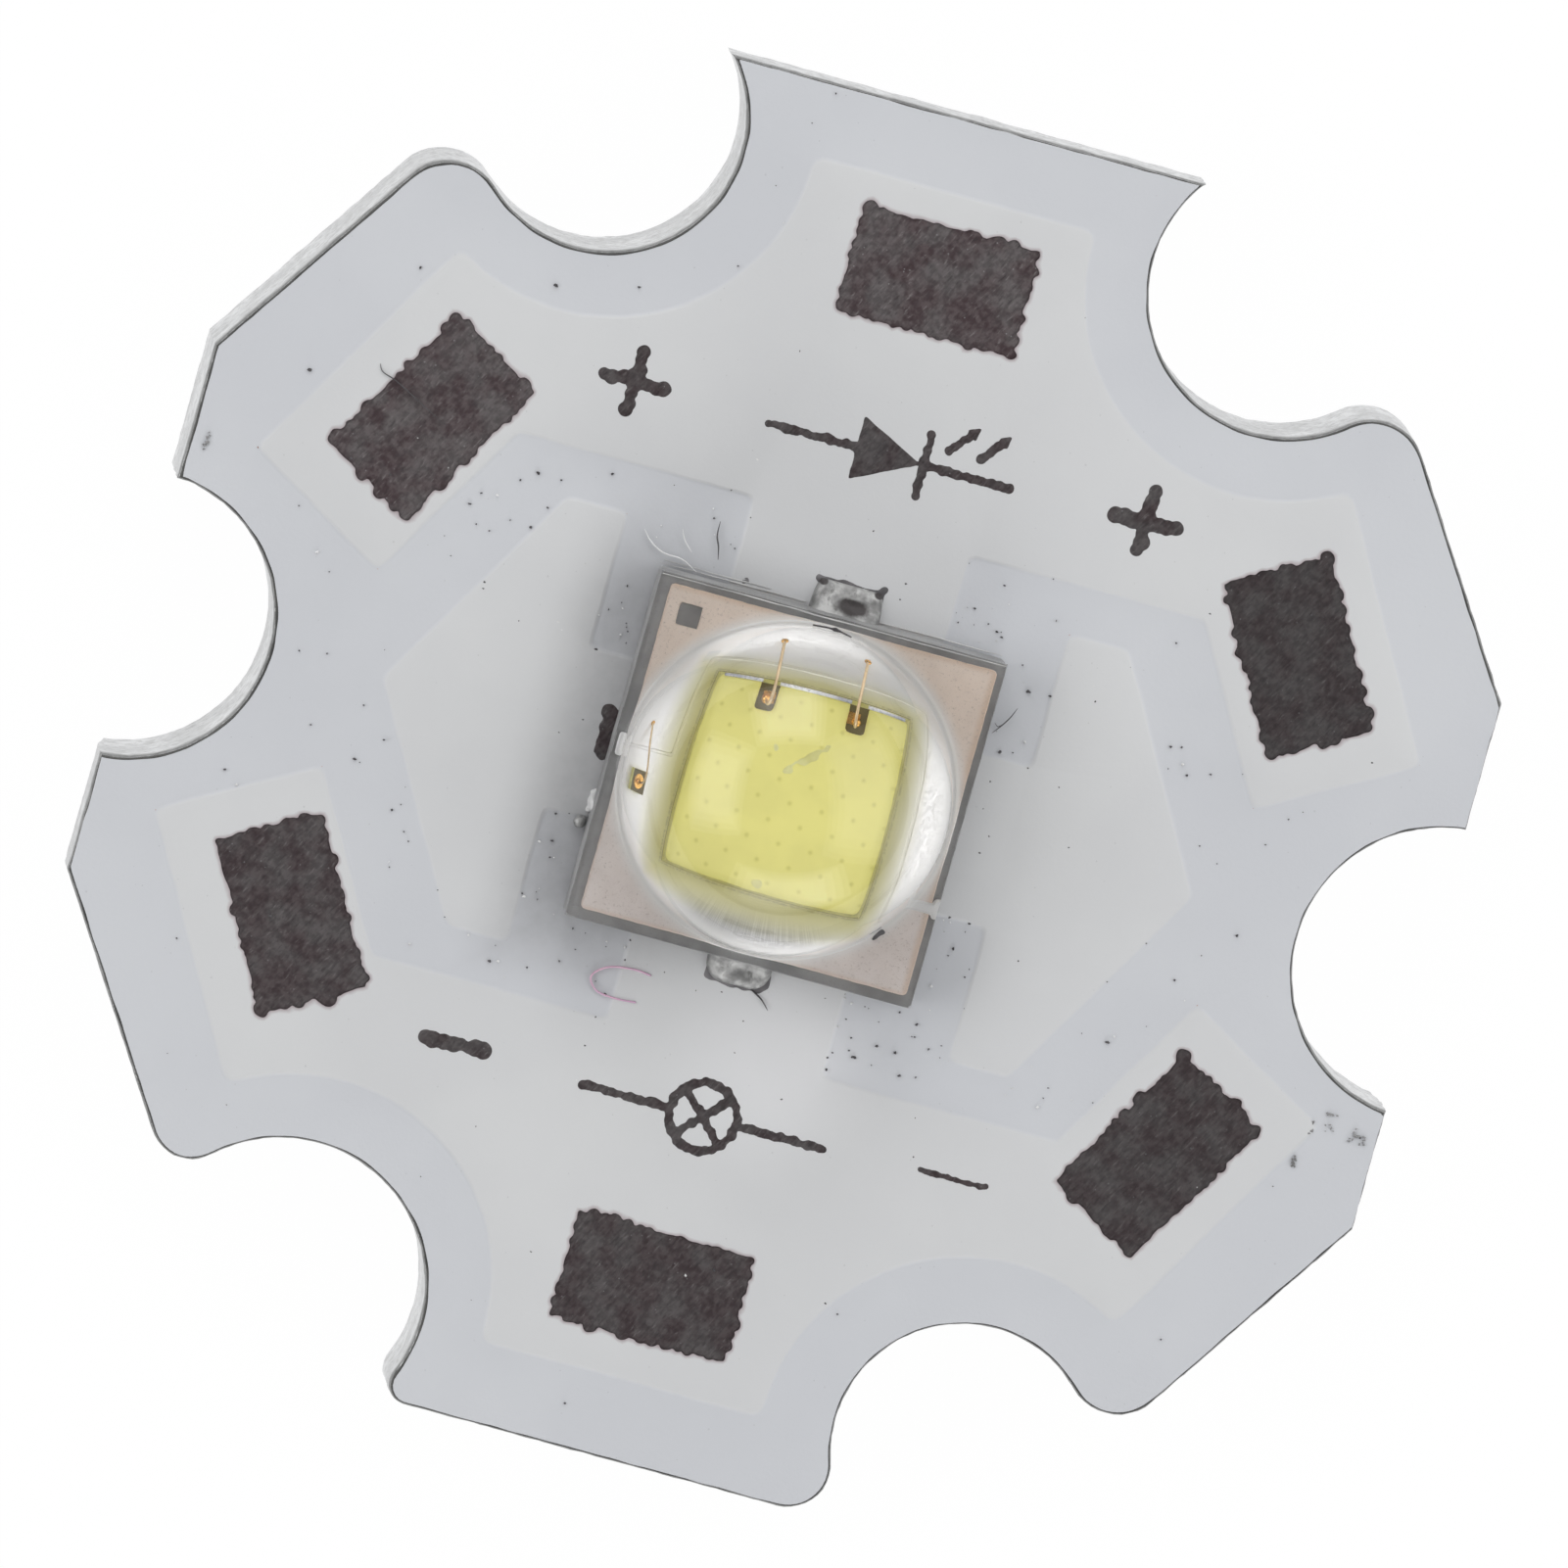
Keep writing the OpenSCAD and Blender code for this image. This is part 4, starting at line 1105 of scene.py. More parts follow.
@made_once("wrinkled solder", 0.5, 0.5)
def solder_finish(s, colours):
    """Solder: bright, wrinkled and clouded, darkened where the mesh's dirt says so: dark flux at the
    corners, and painted shade in the joint's hollow.
    """
    wrinkles = s.grain(8.0, 0.5)
    base = s.clouds(5.0, colours.solder, shaded(colours.solder, 0.5))
    base = s.tint(base, tone(84, 82, 80), wrinkles["Hollows"], 0.6)
    # The dirt mask holds dark flux at the corners and painted shade in each joint's hollow.
    dark = s.ramp(s.math("ADD", s.mask("dirt"), s.times(wrinkles["Height"], 0.4)), 0.5, 0.8)
    rough = s.ramp(wrinkles["Height"], 0.3, 0.7, 0.46, 0.62)
    s.lead(
        s.tint(base, tone(66, 62, 62), dark), wrinkles["Height"], 0.8, 0.04,
        Metallic=s.ramp(dark, 0.0, 1.0, 0.6, 0.1), Roughness=rough,
    )


@made_once("clear silicone", 0.02, Transmission_Weight=1.0, IOR=1.5)
def silicone_finish(s, colours):
    """Clear silicone, a little uneven in its gloss."""
    cloudy = s.effect("Clouds", 0.8, (0, 0, 0), (1, 1, 1))["Mask"]
    s.lead((1, 1, 1), Roughness=s.ramp(cloudy, 0.0, 1.0, 0.0, 0.03))


# ---- Operators


class Builder:
    """What the piece operators share."""

    bl_options = {"REGISTER", "UNDO"}

    def execute(self, context):
        self.build(context.scene.led_board, context.scene.led_package, context.scene.led_finishes)
        return {"FINISHED"}


# The camera's distance from its target, the picture's width in pixels and its pixels per millimetre there
CAMERA_DISTANCE, PICTURE_WIDTH, PICTURE_SCALE = 600.0, 1601, 73.392
CAMERA_SIDE, CAMERA_ROLL = (-0.0874, 0.102, 1), 15.73
SENSOR_WIDTH = 36.0
WORLD_LEVEL = 0.25
# Each lamp is made of layers of these shares of its size, so that it fades towards its edges
LAMP_LAYERS = (1.0, 0.86, 0.72, 0.56)
LAMP_DISTANCE, LAYER_STEP = 130, 0.2
# Name, angle from straight up, bearing, width, depth and brightness at its middle of each soft lamp
LAMPS = (
    ("right lamp", 54, 15.7, 228, 144, 1.55),
    ("left lamp", 52, 185.7, 156, 98, 2.48),
    ("top lamp", 60, 105.7, 110, 108, 2.96),
    ("bottom lamp", 68, 285.7, 168, 79, 2.69),
)


class LED_OT_stage(Builder, bpy.types.Operator):
    """Pale floor, soft lamps, plain surroundings and the camera"""

    bl_idname = "led.stage"
    bl_label = "Stage"

    def build(self, board, package, colours):
        scene = bpy.context.scene
        scene.view_settings.view_transform = "Standard"
        self.add_camera(scene)
        self.add_floor(colours)
        for lamp in LAMPS:
            self.add_lamp(*lamp)
        world = bpy.data.worlds.new("surroundings")
        world.use_nodes = True
        background = world.node_tree.nodes["Background"].inputs
        background[0].default_value = (1, 1, 1, 1)
        background[1].default_value = WORLD_LEVEL
        scene.world = world

    def add_camera(self, scene):
        toward = Vector(CAMERA_SIDE).normalized()
        roll = math.radians(CAMERA_ROLL)
        up = Vector((-math.sin(roll), math.cos(roll), 0))
        up = (up - toward * up.dot(toward)).normalized()
        camera = bpy.data.cameras.new("camera")
        camera.sensor_width = SENSOR_WIDTH
        camera.lens = PICTURE_SCALE * CAMERA_DISTANCE / PICTURE_WIDTH * SENSOR_WIDTH
        camera.clip_start, camera.clip_end = 0.01, 10
        made = bpy.data.objects.new("camera", camera)
        axes = Matrix((up.cross(toward), up, toward)).transposed().to_4x4()
        target = Vector((-0.035, 0.09, FILM_TOP + 0.02))
        made.matrix_world = Matrix.Translation((target + toward * CAMERA_DISTANCE) * MM) @ axes
        scene.collection.objects.link(made)
        scene.camera = made

    def add_floor(self, colours):
        points, faces = turned_part([(600, -0.4), (600, -0.001)], (0, 0), 96)
        mesh = bpy.data.meshes.new("floor")
        mesh.from_pydata((points * MM).tolist(), [], faces)
        s = Surface("pale floor", 0.9)
        s.feed(s.shader["Base Color"], colours.backdrop)
        path = s.node("LightPath").outputs
        seen = s.math("MAXIMUM", path["Is Glossy Ray"], path["Is Transmission Ray"])
        seen = s.math("MAXIMUM", path["Is Camera Ray"], seen)
        glow = s.node("Emission", {"Color": (1, 1, 1, 1), "Strength": 1.0}).outputs[0]
        plain = s.tree.nodes["Principled BSDF"].outputs[0]
        blend = s.node("MixShader", {0: s.times(seen, 0.98), 1: plain, 2: glow})
        s.feed(s.tree.nodes["Material Output"].inputs[0], blend.outputs[0])
        mesh.materials.append(s.material)
        floor = bpy.data.objects.new("floor", mesh)
        bpy.context.scene.collection.objects.link(floor)

    def add_lamp(self, name, off_axis, bearing, width, depth, level):
        sky = math.radians(off_axis)
        toward = Vector((*(math.sin(sky) * unit(bearing)), math.cos(sky)))
        aim = toward.to_track_quat("Z", "Y").to_matrix().to_4x4()
        for layer, share in enumerate(LAMP_LAYERS):
            lamp = bpy.data.lights.new(name, "AREA")
            lamp.shape = "RECTANGLE"
            lamp.size, lamp.size_y = share * width * MM, share * depth * MM
            lamp.energy = level / len(LAMP_LAYERS) * math.pi * lamp.size * lamp.size_y
            made = bpy.data.objects.new(f"{name} {layer + 1}", lamp)
            made.matrix_world = Matrix.Translation(toward * (LAMP_DISTANCE - LAYER_STEP * layer) * MM) @ aim
            bpy.context.scene.collection.objects.link(made)


class LED_OT_board(Builder, bpy.types.Operator):
    """Aluminium core with routed walls and V-cut edges, and the insulating film on it"""

    bl_idname = "led.board"
    bl_label = "Board"

    def build(self, board, package, colours):
        heights = np.r_[0, 0.015, 0.04, np.linspace(0.1, CORE_TOP - 0.1, 25), CORE_TOP - 0.03, CORE_TOP]
        back = 0.02 * np.clip(1 - np.minimum(heights, CORE_TOP - heights) / 0.04, 0, 1) ** 1.5
        cut = board.cut_bevel / MM * np.clip(1 - heights / (board.cut_depth / MM), 0, 1)
        core = capped(board_walls(board, heights, back, cut, 0.028))
        show("aluminium_core", core, routed_finish(colours), ["base_plate"], 50)
        heights = (CORE_TOP, CORE_TOP + 0.03, FILM_TOP - 0.01, FILM_TOP)
        film = capped(board_walls(board, heights, (0.03, 0.025, 0.03, 0.04), (0, 0, 0, 0), 0.02))
        finish = grained("insulating film", colours)
        show("insulating_film", film, finish, ["dielectric_film"])


def joint_distance(p):
    """Signed distance to the openings in the mask under the solder above and below the package."""
    upper, lower = box_distance(p, (0.1, 2.7), (0.36, 0.24)), box_distance(p, (0.06, -2.5), (0.34, 0.18))
    return np.minimum(upper, lower) - 0.02


# Distances from the copper's edge over which the mask slopes up on it
SLOPE = (-0.04, -0.012, 0.016, 0.045)


class LED_OT_mask(Builder, bpy.types.Operator):
    """White mask, raised over the copper, open at the wire pads and the solder"""

    bl_idname = "led.mask"
    bl_label = "White mask"

    def build(self, board, package, colours):
        back = board.mask_back / MM
        outline = even(star(board, back, 0.6 * back), 0.08)
        outline = outline + inward(outline) * (0.012 + 0.012 * lumps(outline, 0.25, 21))[:, None]
        copper = Field((-9.3, -9.3), (9.3, 9.3), 0.05, copper_distance, soften=4)
        rings = [loop for offset in SLOPE for loop in copper.outlines(offset, 0.09)]
        windows = []
        for seed, (node, (lobe, _, _)) in enumerate(PADS.items()):
            windows.append((pad_field(board, seed), lobe, pad_place(node)))
        holes = [
            turned(loop, lobe) + spot
            for window, lobe, spot in windows
            for offset in (0.0, 0.05)
            for loop in window.outlines(offset, 0.03 + offset)
        ]
        joints = Field((-0.8, -3.2), (0.8, 3.4), 0.04, joint_distance)
        holes += joints.outlines(0.02, 0.05)
        edge = Field((-9.6, -9.9), (9.6, 9.9), 0.1, lambda p: polygon_distance(p, outline[::4]))

        def burnt(points):
            near = [window.at(turned(points - spot, -lobe)) for window, lobe, spot in windows]
            return np.minimum.reduce(near)

        def keep(middle):
            away = edge.at(middle)
            near = np.abs(away) < 0.2
            away[near] = polygon_distance(middle[near], outline)
            return (away < 0) & (burnt(middle) > 0) & (joints.at(middle) > 0.02)

        flat, tris = triangles([outline] + rings + holes, keep)
        share = np.clip((SLOPE[-1] - copper.at(flat)) / (SLOPE[-1] - SLOPE[0]), 0, 1)
        top = LOW_MASK_TOP + (MASK_TOP - LOW_MASK_TOP) * share * share * (3 - 2 * share)
        scorch = 0.75 * np.clip(1 - burnt(flat) / 0.05, 0, 1)
        mask = coat(flat, tris, top, top - 0.029)
        masks = {"scorch": np.r_[scorch, scorch]}
        show("white_mask", mask, mask_finish(colours), ["solder_mask"], 30, masks)


class LED_OT_pads(Builder, bpy.types.Operator):
    """Six charred wire pads with scalloped edges"""

    bl_idname = "led.pads"
    bl_label = "Wire pads"

    def build(self, board, package, colours):
        profile = [(0, MASK_TOP - 0.022), (0.03, MASK_TOP - 0.012)]
        for seed, (node, (lobe, shade, _)) in enumerate(PADS.items()):
            field, spot = pad_field(board, seed), pad_place(node)
            pad = slab(field, COPPER_TOP, profile, 0.03, 0.008, 0.05, 30 + seed, lobe, spot)
            show("charred_" + node, pad, char_finish(colours), [node], 60, {"shade": shade})


class LED_OT_marks(Builder, bpy.types.Operator):
    """Burnt plus, minus and circuit symbols and the index bar"""

    bl_idname = "led.marks"
    bl_label = "Burnt marks"

    def build(self, board, package, colours):
        profile = [(0, MASK_TOP), (0.02, MARK_TOP - 0.004)]
        marks = [
            (node, mark_field(*shape, 60 + seed), 90 + seed, BURN_SHIFT)
            for seed, (node, shape) in enumerate(mark_shapes().items())
        ]
        marks.append(("index_bar", Field((-2.9, -0.5), (-2.3, 0.75), 0.02, index_distance, 1), 99, (0, 0)))
        for node, field, seed, spot in marks:
            mark = slab(field, MASK_TOP - 0.01, profile, 0.03, 0.004, 0.05, seed, 0, spot)
            show("burnt_" + node, mark, char_finish(colours), [node], 60, {"shade": 0.4})


class LED_OT_solder(Builder, bpy.types.Operator):
    """The two solder joints that show beside the package, a stray ball, and dark flux with a painted shadow
    round the joints
    """

    bl_idname = "led.solder"
    bl_label = "Solder"

    def build(self, board, package, colours):
        finish = solder_finish(colours)
        sizes = {"anode_solder": (1, 0.44, 0.51, 0.12, 5), "cathode_solder": (-1, 0.42, 0.47, 0.05, 6)}
        for node, given in sizes.items():
            joint, dirt = self.joint(*given)
            show(node + "_joint", joint, finish, [node], 180, {"dirt": dirt})
        profile = (
            (0.03, 0.0), (0.062, 0.015), (0.082, 0.045), (0.09, 0.085), (0.083, 0.125), (0.062, 0.155),
            (0.03, 0.172), (0.008, 0.176),
        )
        points, faces = turned_part([(r, LOW_MASK_TOP + z) for r, z in profile], (-2.645, -1.16))
        points[:, :2] += 0.004 * np.c_[lumps(points, 0.08, 7), lumps(points, 0.08, 8)]
        show("solder_ball", (points, faces), finish, ["stray_solder_ball"], 180)

        # Dark slab round the solder: the ring hugging each joint is painted shadow, the small spots are
        # burnt flux.
        def burnt(p):
            upper = box_distance(p, (0.12, 2.8), (0.43, 0.2)) - 0.05
            lower = box_distance(p, (0.05, -2.6), (0.33, 0.11)) - 0.135
            spots = spots_distance(p, (((-0.34, 3.0), 0.06), ((0.56, 3.05), 0.05), ((-1.35, 2.69), 0.05)))
            return np.minimum.reduce([upper, lower, spots]) + 0.045 * lumps(p, 0.1, 73)

        field = Field((-1.6, -3.1), (0.9, 3.3), 0.02, burnt, soften=1)
        profile = [(0, MASK_TOP), (0.03, MASK_TOP + 0.015)]
        flux = slab(field, MASK_TOP - 0.01, profile, 0.03, 0.004, 0.04, 74)
        show("solder_flux", flux, grained("burnt flux", colours), smooth=60)

    def joint(self, side, reach, half, middle, seed):
        """A joint above (1) or below (-1) the package, and how dark each of its points is: dark flux at the
        upper joint's corners, and painted shade in each joint's hollow.
        """
        rows, columns = 27, 41
        base = COPPER_TOP + 0.012
        grid, dirt = [], []
        for v, u in product(np.linspace(0, 1, rows), np.linspace(-1, 1, columns)):
            edge = max(0.0, 1 - abs(u) ** 6) ** 0.5 * max(0.0, 1 - v ** 5) ** 0.5
            hollow = math.exp(-((u - 0.15) / 0.5) ** 2 - ((v - 0.36) / 0.28) ** 2)
            if side > 0:
                narrowing = half * (1 - 0.10 * v ** 2)
                lobe = 0.06 * math.exp(-((abs(u) - 0.8) ** 2) / 0.02 - (v - 0.85) ** 2 / 0.03)
                blobs = math.exp(-((abs(u) - 0.86) / 0.16) ** 2 - ((v - 0.9) / 0.12) ** 2)
                # Its hollow is painted shade, its corner blobs are dark flux.
                dirt.append(max(0.95 * hollow, blobs))
            else:
                narrowing = half * math.sqrt(max(0.02, 1 - (0.92 * v) ** 4))
                lobe = 0
                # Painted shade in the hollow.
                dirt.append(0.25 * hollow)
            height = edge * (0.12 + 0.2 * (1 - v) ** 1.6 + lobe - 0.1 * hollow)
            y = PACKAGE[1] + side * (PACKAGE_HALF - 0.03 + v * (reach + 0.02))
            grid.append((middle + u * narrowing, y, base + height))
        grid = np.array(grid)
        wave = 0.016 * lumps(grid, 0.22, seed) + 0.004 * lumps(grid, 0.08, seed + 9)
        grid[:, 2] += wave * np.minimum(1, (grid[:, 2] - base) / 0.08)
        under = grid.copy()
        under[:, 2] = base - 0.005
        count = rows * columns
        faces = []
        for j, i in product(range(rows - 1), range(columns - 1)):
            a, b = j * columns + i, j * columns + i + 1
            c, d = b + columns, a + columns
            faces += [(a, b, c, d), (d + count, c + count, b + count, a + count)]
        rim = [(i, 0) for i in range(columns - 1)] + [(columns - 1, j) for j in range(rows - 1)]
        rim += [(i, rows - 1) for i in range(columns - 1, 0, -1)] + [(0, j) for j in range(rows - 1, 0, -1)]
        ids = [j * columns + i for i, j in rim]
        faces += [(b, a, a + count, b + count) for a, b in zip(ids, ids[1:] + ids[:1])]
        if side < 0:
            faces = [face[::-1] for face in faces]
        return (np.vstack([grid, under]), faces), dirt * 2


class LED_OT_ceramic(Builder, bpy.types.Operator):
    """Ceramic substrate with sawn sides"""

    bl_idname = "led.ceramic"
    bl_label = "Ceramic"

    def build(self, board, package, colours):
        inner = np.linspace(CERAMIC_LOW + 0.04, CERAMIC_TOP - 0.04, 9)
        rings = []
        for z in (CERAMIC_LOW, CERAMIC_LOW + 0.01, *inner, CERAMIC_TOP - 0.01, CERAMIC_TOP):
            edge = min(z - CERAMIC_LOW, CERAMIC_TOP - z)
            half = PACKAGE_HALF - 0.012 * max(0, 1 - edge / 0.03)
            loop = even(even(rounded_square(half, 0.03), 0.06), count=320)
            spots = np.c_[loop, np.full(len(loop), z)]
            loop = loop + inward(loop) * (0.004 + 0.004 * lumps(spots * (1, 1, 3), 0.1, 41))[:, None]
            rings.append(np.c_[loop + PACKAGE, np.full(len(loop), z)])
        show("ceramic_slab", loft(rings), grained("ceramic", colours), ["ceramic_substrate"])


class LED_OT_plate(Builder, bpy.types.Operator):
    """Plated metal on the ceramic and the white filling of its gap"""

    bl_idname = "led.plate"
    bl_label = "Plated metal"

    def build(self, board, package, colours):
        half, side = package.gap_width / MM / 2, package.metal_half / MM
        path = [(-2.45, 0.02), (-1.22, 0.02), (-1.22, 1.2), (1.22, 1.2), (1.22, -1.1), (2.45, -1.1)]
        upper = path + [(2.45, 2.6), (-2.45, 2.6)]
        silver = plate_finish(colours)
        for node, sign in (("wire_bond_metal", 1), ("die_attach_metal", -1)):

            def distance(p):
                square = box_distance(p, (0, 0), (side - 0.05, side - 0.05)) - 0.05
                shape = np.maximum(square, sign * polygon_distance(p, upper) + half)
                if sign > 0:
                    shape = np.maximum(shape, 0.01 - box_distance(p, (-2, 1.975), (0.15, 0.15)))
                return shape + 0.005 * lumps(p, 0.09, 51)

            field = Field((-2.5, -2.5), (2.5, 2.5), 0.025, distance, soften=1)
            metal = slab(field, CERAMIC_TOP, [(0, METAL_TOP - 0.01), (0.012, METAL_TOP)], 0.04, shift=METAL)
            show("silver_" + node, metal, silver, [node], 20)

        def filled(p):
            strokes = [stroke_distance(p, a, b, half + 0.002) for a, b in zip(path, path[1:])]
            return np.minimum.reduce(strokes) + 0.002 * lumps(p, 0.15, 51)

        def swollen(p):
            left, line_end, right = (
                box_distance(p, (-2.41, 0.0), (0.03, 0.13)), box_distance(p, (2.17, -1.09), (0.25, 0.045)),
                box_distance(p, (2.44, -1.08), (0.03, 0.11)))
            shape = np.minimum.reduce([left, line_end, right]) - 0.035
            return shape + 0.016 * lumps(p, 0.13, 51)

        low_face = CERAMIC_TOP + 0.01
        line = Field((-2.6, -1.5), (2.6, 1.5), 0.02, filled)
        line = slab(line, low_face, [(0, METAL_TOP - 0.003)], 0.03, shift=METAL)
        show("gap_line", line, silver, smooth=20)
        ends = Field((-2.6, -1.5), (2.6, 0.5), 0.02, swollen, soften=1)
        profile = [(0, METAL_TOP), (0.03, METAL_TOP + 0.03)]
        points, faces = slab(ends, low_face, profile, 0.03, 0.004, 0.04, 52, shift=METAL)
        edge = PACKAGE_HALF - 0.01
        points[:, 0] = np.clip(points[:, 0], PACKAGE[0] - edge, PACKAGE[0] + edge)
        finish = grained("gap filling", colours)
        show("gap_filling", (points, faces), finish, ["metal_gap_fill"])


def wear(finish, *nodes):
    """Gives CAD nodes that stay a new material."""
    for node in nodes:
        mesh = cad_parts[node].data
        mesh.materials.clear()
        mesh.materials.append(finish)


# Where the phosphor is left open for the bond pads, across the die
SLOTS = (-0.46, 0.48)


class LED_OT_die(Builder, bpy.types.Operator):
    """The die, its phosphor layer and pads, and the protection diode"""

    bl_idname = "led.die"
    bl_label = "Die"

    def build(self, board, package, colours):
        half = package.die_half / MM

        def distance(p):
            shape = box_distance(p, (-0.01, 0.015), (half - 0.055, half - 0.05)) - 0.062
            for side in SLOTS:
                shape = np.maximum(shape, -(box_distance(p, (side, half), (0.07, 0.27)) - 0.03))
            return shape + 0.006 * lumps(p, 0.12, 61)

        def scuffed(p):
            return np.minimum.reduce([
                stroke_distance(p, (0.0, 0.42), (0.2, 0.6), 0.035),
                stroke_distance(p, (-0.13, 0.285), (-0.05, 0.4), 0.02),
                spots_distance(p, (((-0.27, 0.49), 0.03), ((-0.09, -0.845), 0.04), ((-0.4, 0.77), 0.02))),
            ]) + 0.045 * lumps(p, 0.06, 62)

        field = Field((-1.15, -1.15), (1.15, 1.2), 0.0125, distance, soften=6)
        drops = ((0, 0.035), (0.015, 0.017), (0.04, 0.005), (0.08, 0))
        profile = [(inset, PHOSPHOR_TOP - drop) for inset, drop in drops]
        phosphor = slab(field, DIE_TOP, profile, 0.03, shift=PACKAGE)
        show("phosphor_slab", phosphor, phosphor_finish(colours), ["phosphor_layer"])
        # Pale tubes along the die's upper edge: a painted highlight of its polished side.
        left, right = SLOTS
        edge_highlights = []
        for start, end in ((-1.0, left - 0.1), (left + 0.09, right - 0.09), (right + 0.09, 1.0)):
            way = [(*(PACKAGE + (x, 1.062)), PHOSPHOR_TOP - 0.02) for x in np.linspace(start, end, 12)]
            edge_highlights.append(tube(way, 0.02, 8))
        show("die_edge_bead", joined(edge_highlights), grained("shiny edge", colours), smooth=180)
        marks = Field((-0.6, -1.0), (0.4, 0.95), 0.0125, scuffed)
        marks = slab(marks, PHOSPHOR_TOP - 0.004, [(0, PHOSPHOR_TOP), (0.01, PHOSPHOR_TOP + 0.004)], 0.015)
        show("phosphor_scuffs", marks, grained("scuffed silicone", colours), smooth=60)
        wear(silicon_finish(colours), "led_die", "protection_diode")
        wear(grained("die solder", colours), "die_attach_solder")
        wear(grained("gold", colours), "bond_pad_left", "bond_pad_right", "protection_pad")


# Each part of a bond wire's way as a share of its run and of its arch
ARCH = ((0, 0.03), (0.0, 0.55), (0.06, 0.86), (0.2, 1.0), (0.38, 0.86), (0.7, 0.38), (0.9, 0.09), (1.0, 0.0))
# The ball and the stitch as radii and heights, in radii of the wire
BALL = ((1.2, 0), (2.3, 0.25), (2.6, 0.8), (2.3, 1.4), (1.4, 1.9), (0.9, 2.2))
STITCH = ((1.4, 0), (2.2, 0.2), (2.3, 0.6), (1.7, 1.0), (0.8, 1.35))


class LED_OT_wires(Builder, bpy.types.Operator):
    """Bond wires with their balls and stitches"""

    bl_idname = "led.wires"
    bl_label = "Bond wires"

    def build(self, board, package, colours):
        thick, thin = package.wire_radius / MM, package.guard_wire_radius / MM
        left, right = SLOTS
        for node, across, start, end, z, r, arch, sway in (
            ("bond_wire_left", left, 0.85, 1.58, BOND_PAD_TOP, thick, 0.245, -0.012),
            ("bond_wire_right", right, 0.85, 1.58, BOND_PAD_TOP, thick, 0.245, 0.012),
            ("protection_wire", -1.6, -0.33, 0.32, GUARD_TOP, thin, 0.2, 0.0),
        ):
            self.wire(node, PACKAGE + (across, start), PACKAGE + (across, end), z, r, arch, sway, colours)

    def wire(self, node, start, end, start_z, r, arch, sway, colours):
        run = end - start
        side = np.array([-run[1], run[0]]) / np.linalg.norm(run)
        path = []
        for t, lift in ARCH:
            flat = start + t * run + sway * math.sin(math.pi * t) * side
            base = start_z + (METAL_TOP - start_z) * t
            path.append((*flat, base + (arch * lift + 1.3 * r if t < 1 else 0.7 * r)))
        wire = tube(spline(path, 60), r, 14)
        show("gold_" + node, wire, grained("gold wire", colours), [node], 180)
        for profile, spot, z, name in ((BALL, start, start_z, "_ball"), (STITCH, end, METAL_TOP, "_stitch")):
            foot = turned_part([(a * r, z + b * r) for a, b in profile], spot)
            show("gold_" + node + name, foot, grained("gold", colours), smooth=180)


class LED_OT_silicone(Builder, bpy.types.Operator):
    """Clear dome with its skin over the package"""

    bl_idname = "led.silicone"
    bl_label = "Silicone"

    def build(self, board, package, colours):
        dome, foot = package.dome_radius / MM, (package.dome_radius + package.dome_fillet) / MM
        skin = METAL_TOP + 0.05
        sweep = np.radians(np.linspace(0.4, 86.0, 80))
        profile = [(dome * math.sin(a), METAL_TOP + dome * math.cos(a)) for a in sweep]
        top_r, top_z = profile[-1]
        for t in np.linspace(0.12, 1, 9):
            profile.append((top_r + (foot - top_r) * t ** 2, top_z + (skin - top_z) * (1 - (1 - t) ** 2)))
        sides = 256
        angles = np.linspace(0, 2 * math.pi, sides, endpoint=False)
        face = np.c_[np.cos(angles), np.sin(angles)]
        square = 1 / np.abs(face).max(axis=1)
        edge = PACKAGE_HALF - 0.004
        radii = [(np.full(sides, r), z) for r, z in profile]
        radii += [(foot + share * ((edge - 0.01) * square - foot), skin) for share in (0.5, 1.0)]
        radii += [(half * square, z) for half, z in (
            (edge - 0.004, skin - 0.002), (edge - 0.001, skin - 0.007), (edge, skin - 0.016),
            (edge, CERAMIC_TOP - 0.002),
        )]
        rings = [np.c_[radius[:, None] * face + PACKAGE, np.full(sides, z)] for radius, z in radii[::-1]]
        show("silicone_dome", loft(rings), silicone_finish(colours), ["silicone_lens"], 35)


class LED_OT_hidden(Builder, bpy.types.Operator):
    """Finishes of the copper, lands, vias and solder that lie under the mask and the package"""

    bl_idname = "led.hidden"
    bl_label = "Copper and lands"

    def build(self, board, package, colours):
        wear(grained("etched copper", colours), "anode_track", "cathode_track", "thermal_track")
        lands = ("anode_land", "cathode_land", "thermal_land", "anode_vias", "cathode_vias")
        wear(grained("gold", colours), *lands)
        wear(solder_finish(colours), "thermal_solder")


# Each hair's and fibre's way over the mask, its radius and its finish
HAIRS = {
    "hair_top_left": ([(-1.89, 3.4), (-1.88, 3.2), (-1.82, 3.05), (-1.78, 2.88)], 0.012, "dust"),
    "hair_right": ([(2.56, 1.55), (2.66, 1.68), (2.75, 1.83), (2.81, 1.98)], 0.009, "dust"),
    "hair_right_branch": ([(2.56, 1.7), (2.62, 1.66), (2.7, 1.74)], 0.006, "dust"),
    "hair_left_pad": (
        [(-7.05, 4.27), (-6.98, 4.17), (-6.75, 4.09), (-6.3, 3.86), (-5.93, 3.68)], 0.009, "dust"),
    "hair_bottom": ([(0.25, -2.78), (0.36, -2.83), (0.48, -2.9), (0.6, -3.02)], 0.012, "dust"),
    "fibre_top_left": (
        [(-2.88, 3.02), (-2.75, 2.88), (-2.54, 2.77), (-2.26, 2.75), (-2.02, 2.63)], 0.011, "pale dust"),
    "fibre_top": ([(-2.37, 3.16), (-2.3, 3.02), (-2.16, 2.88)], 0.009, "pale dust"),
}
PINK_WAY = (
    (-1.1, -2.98), (-1.35, -2.96), (-1.7, -3.02), (-1.9, -3.2), (-1.78, -3.38), (-1.5, -3.42), (-1.2, -3.4))
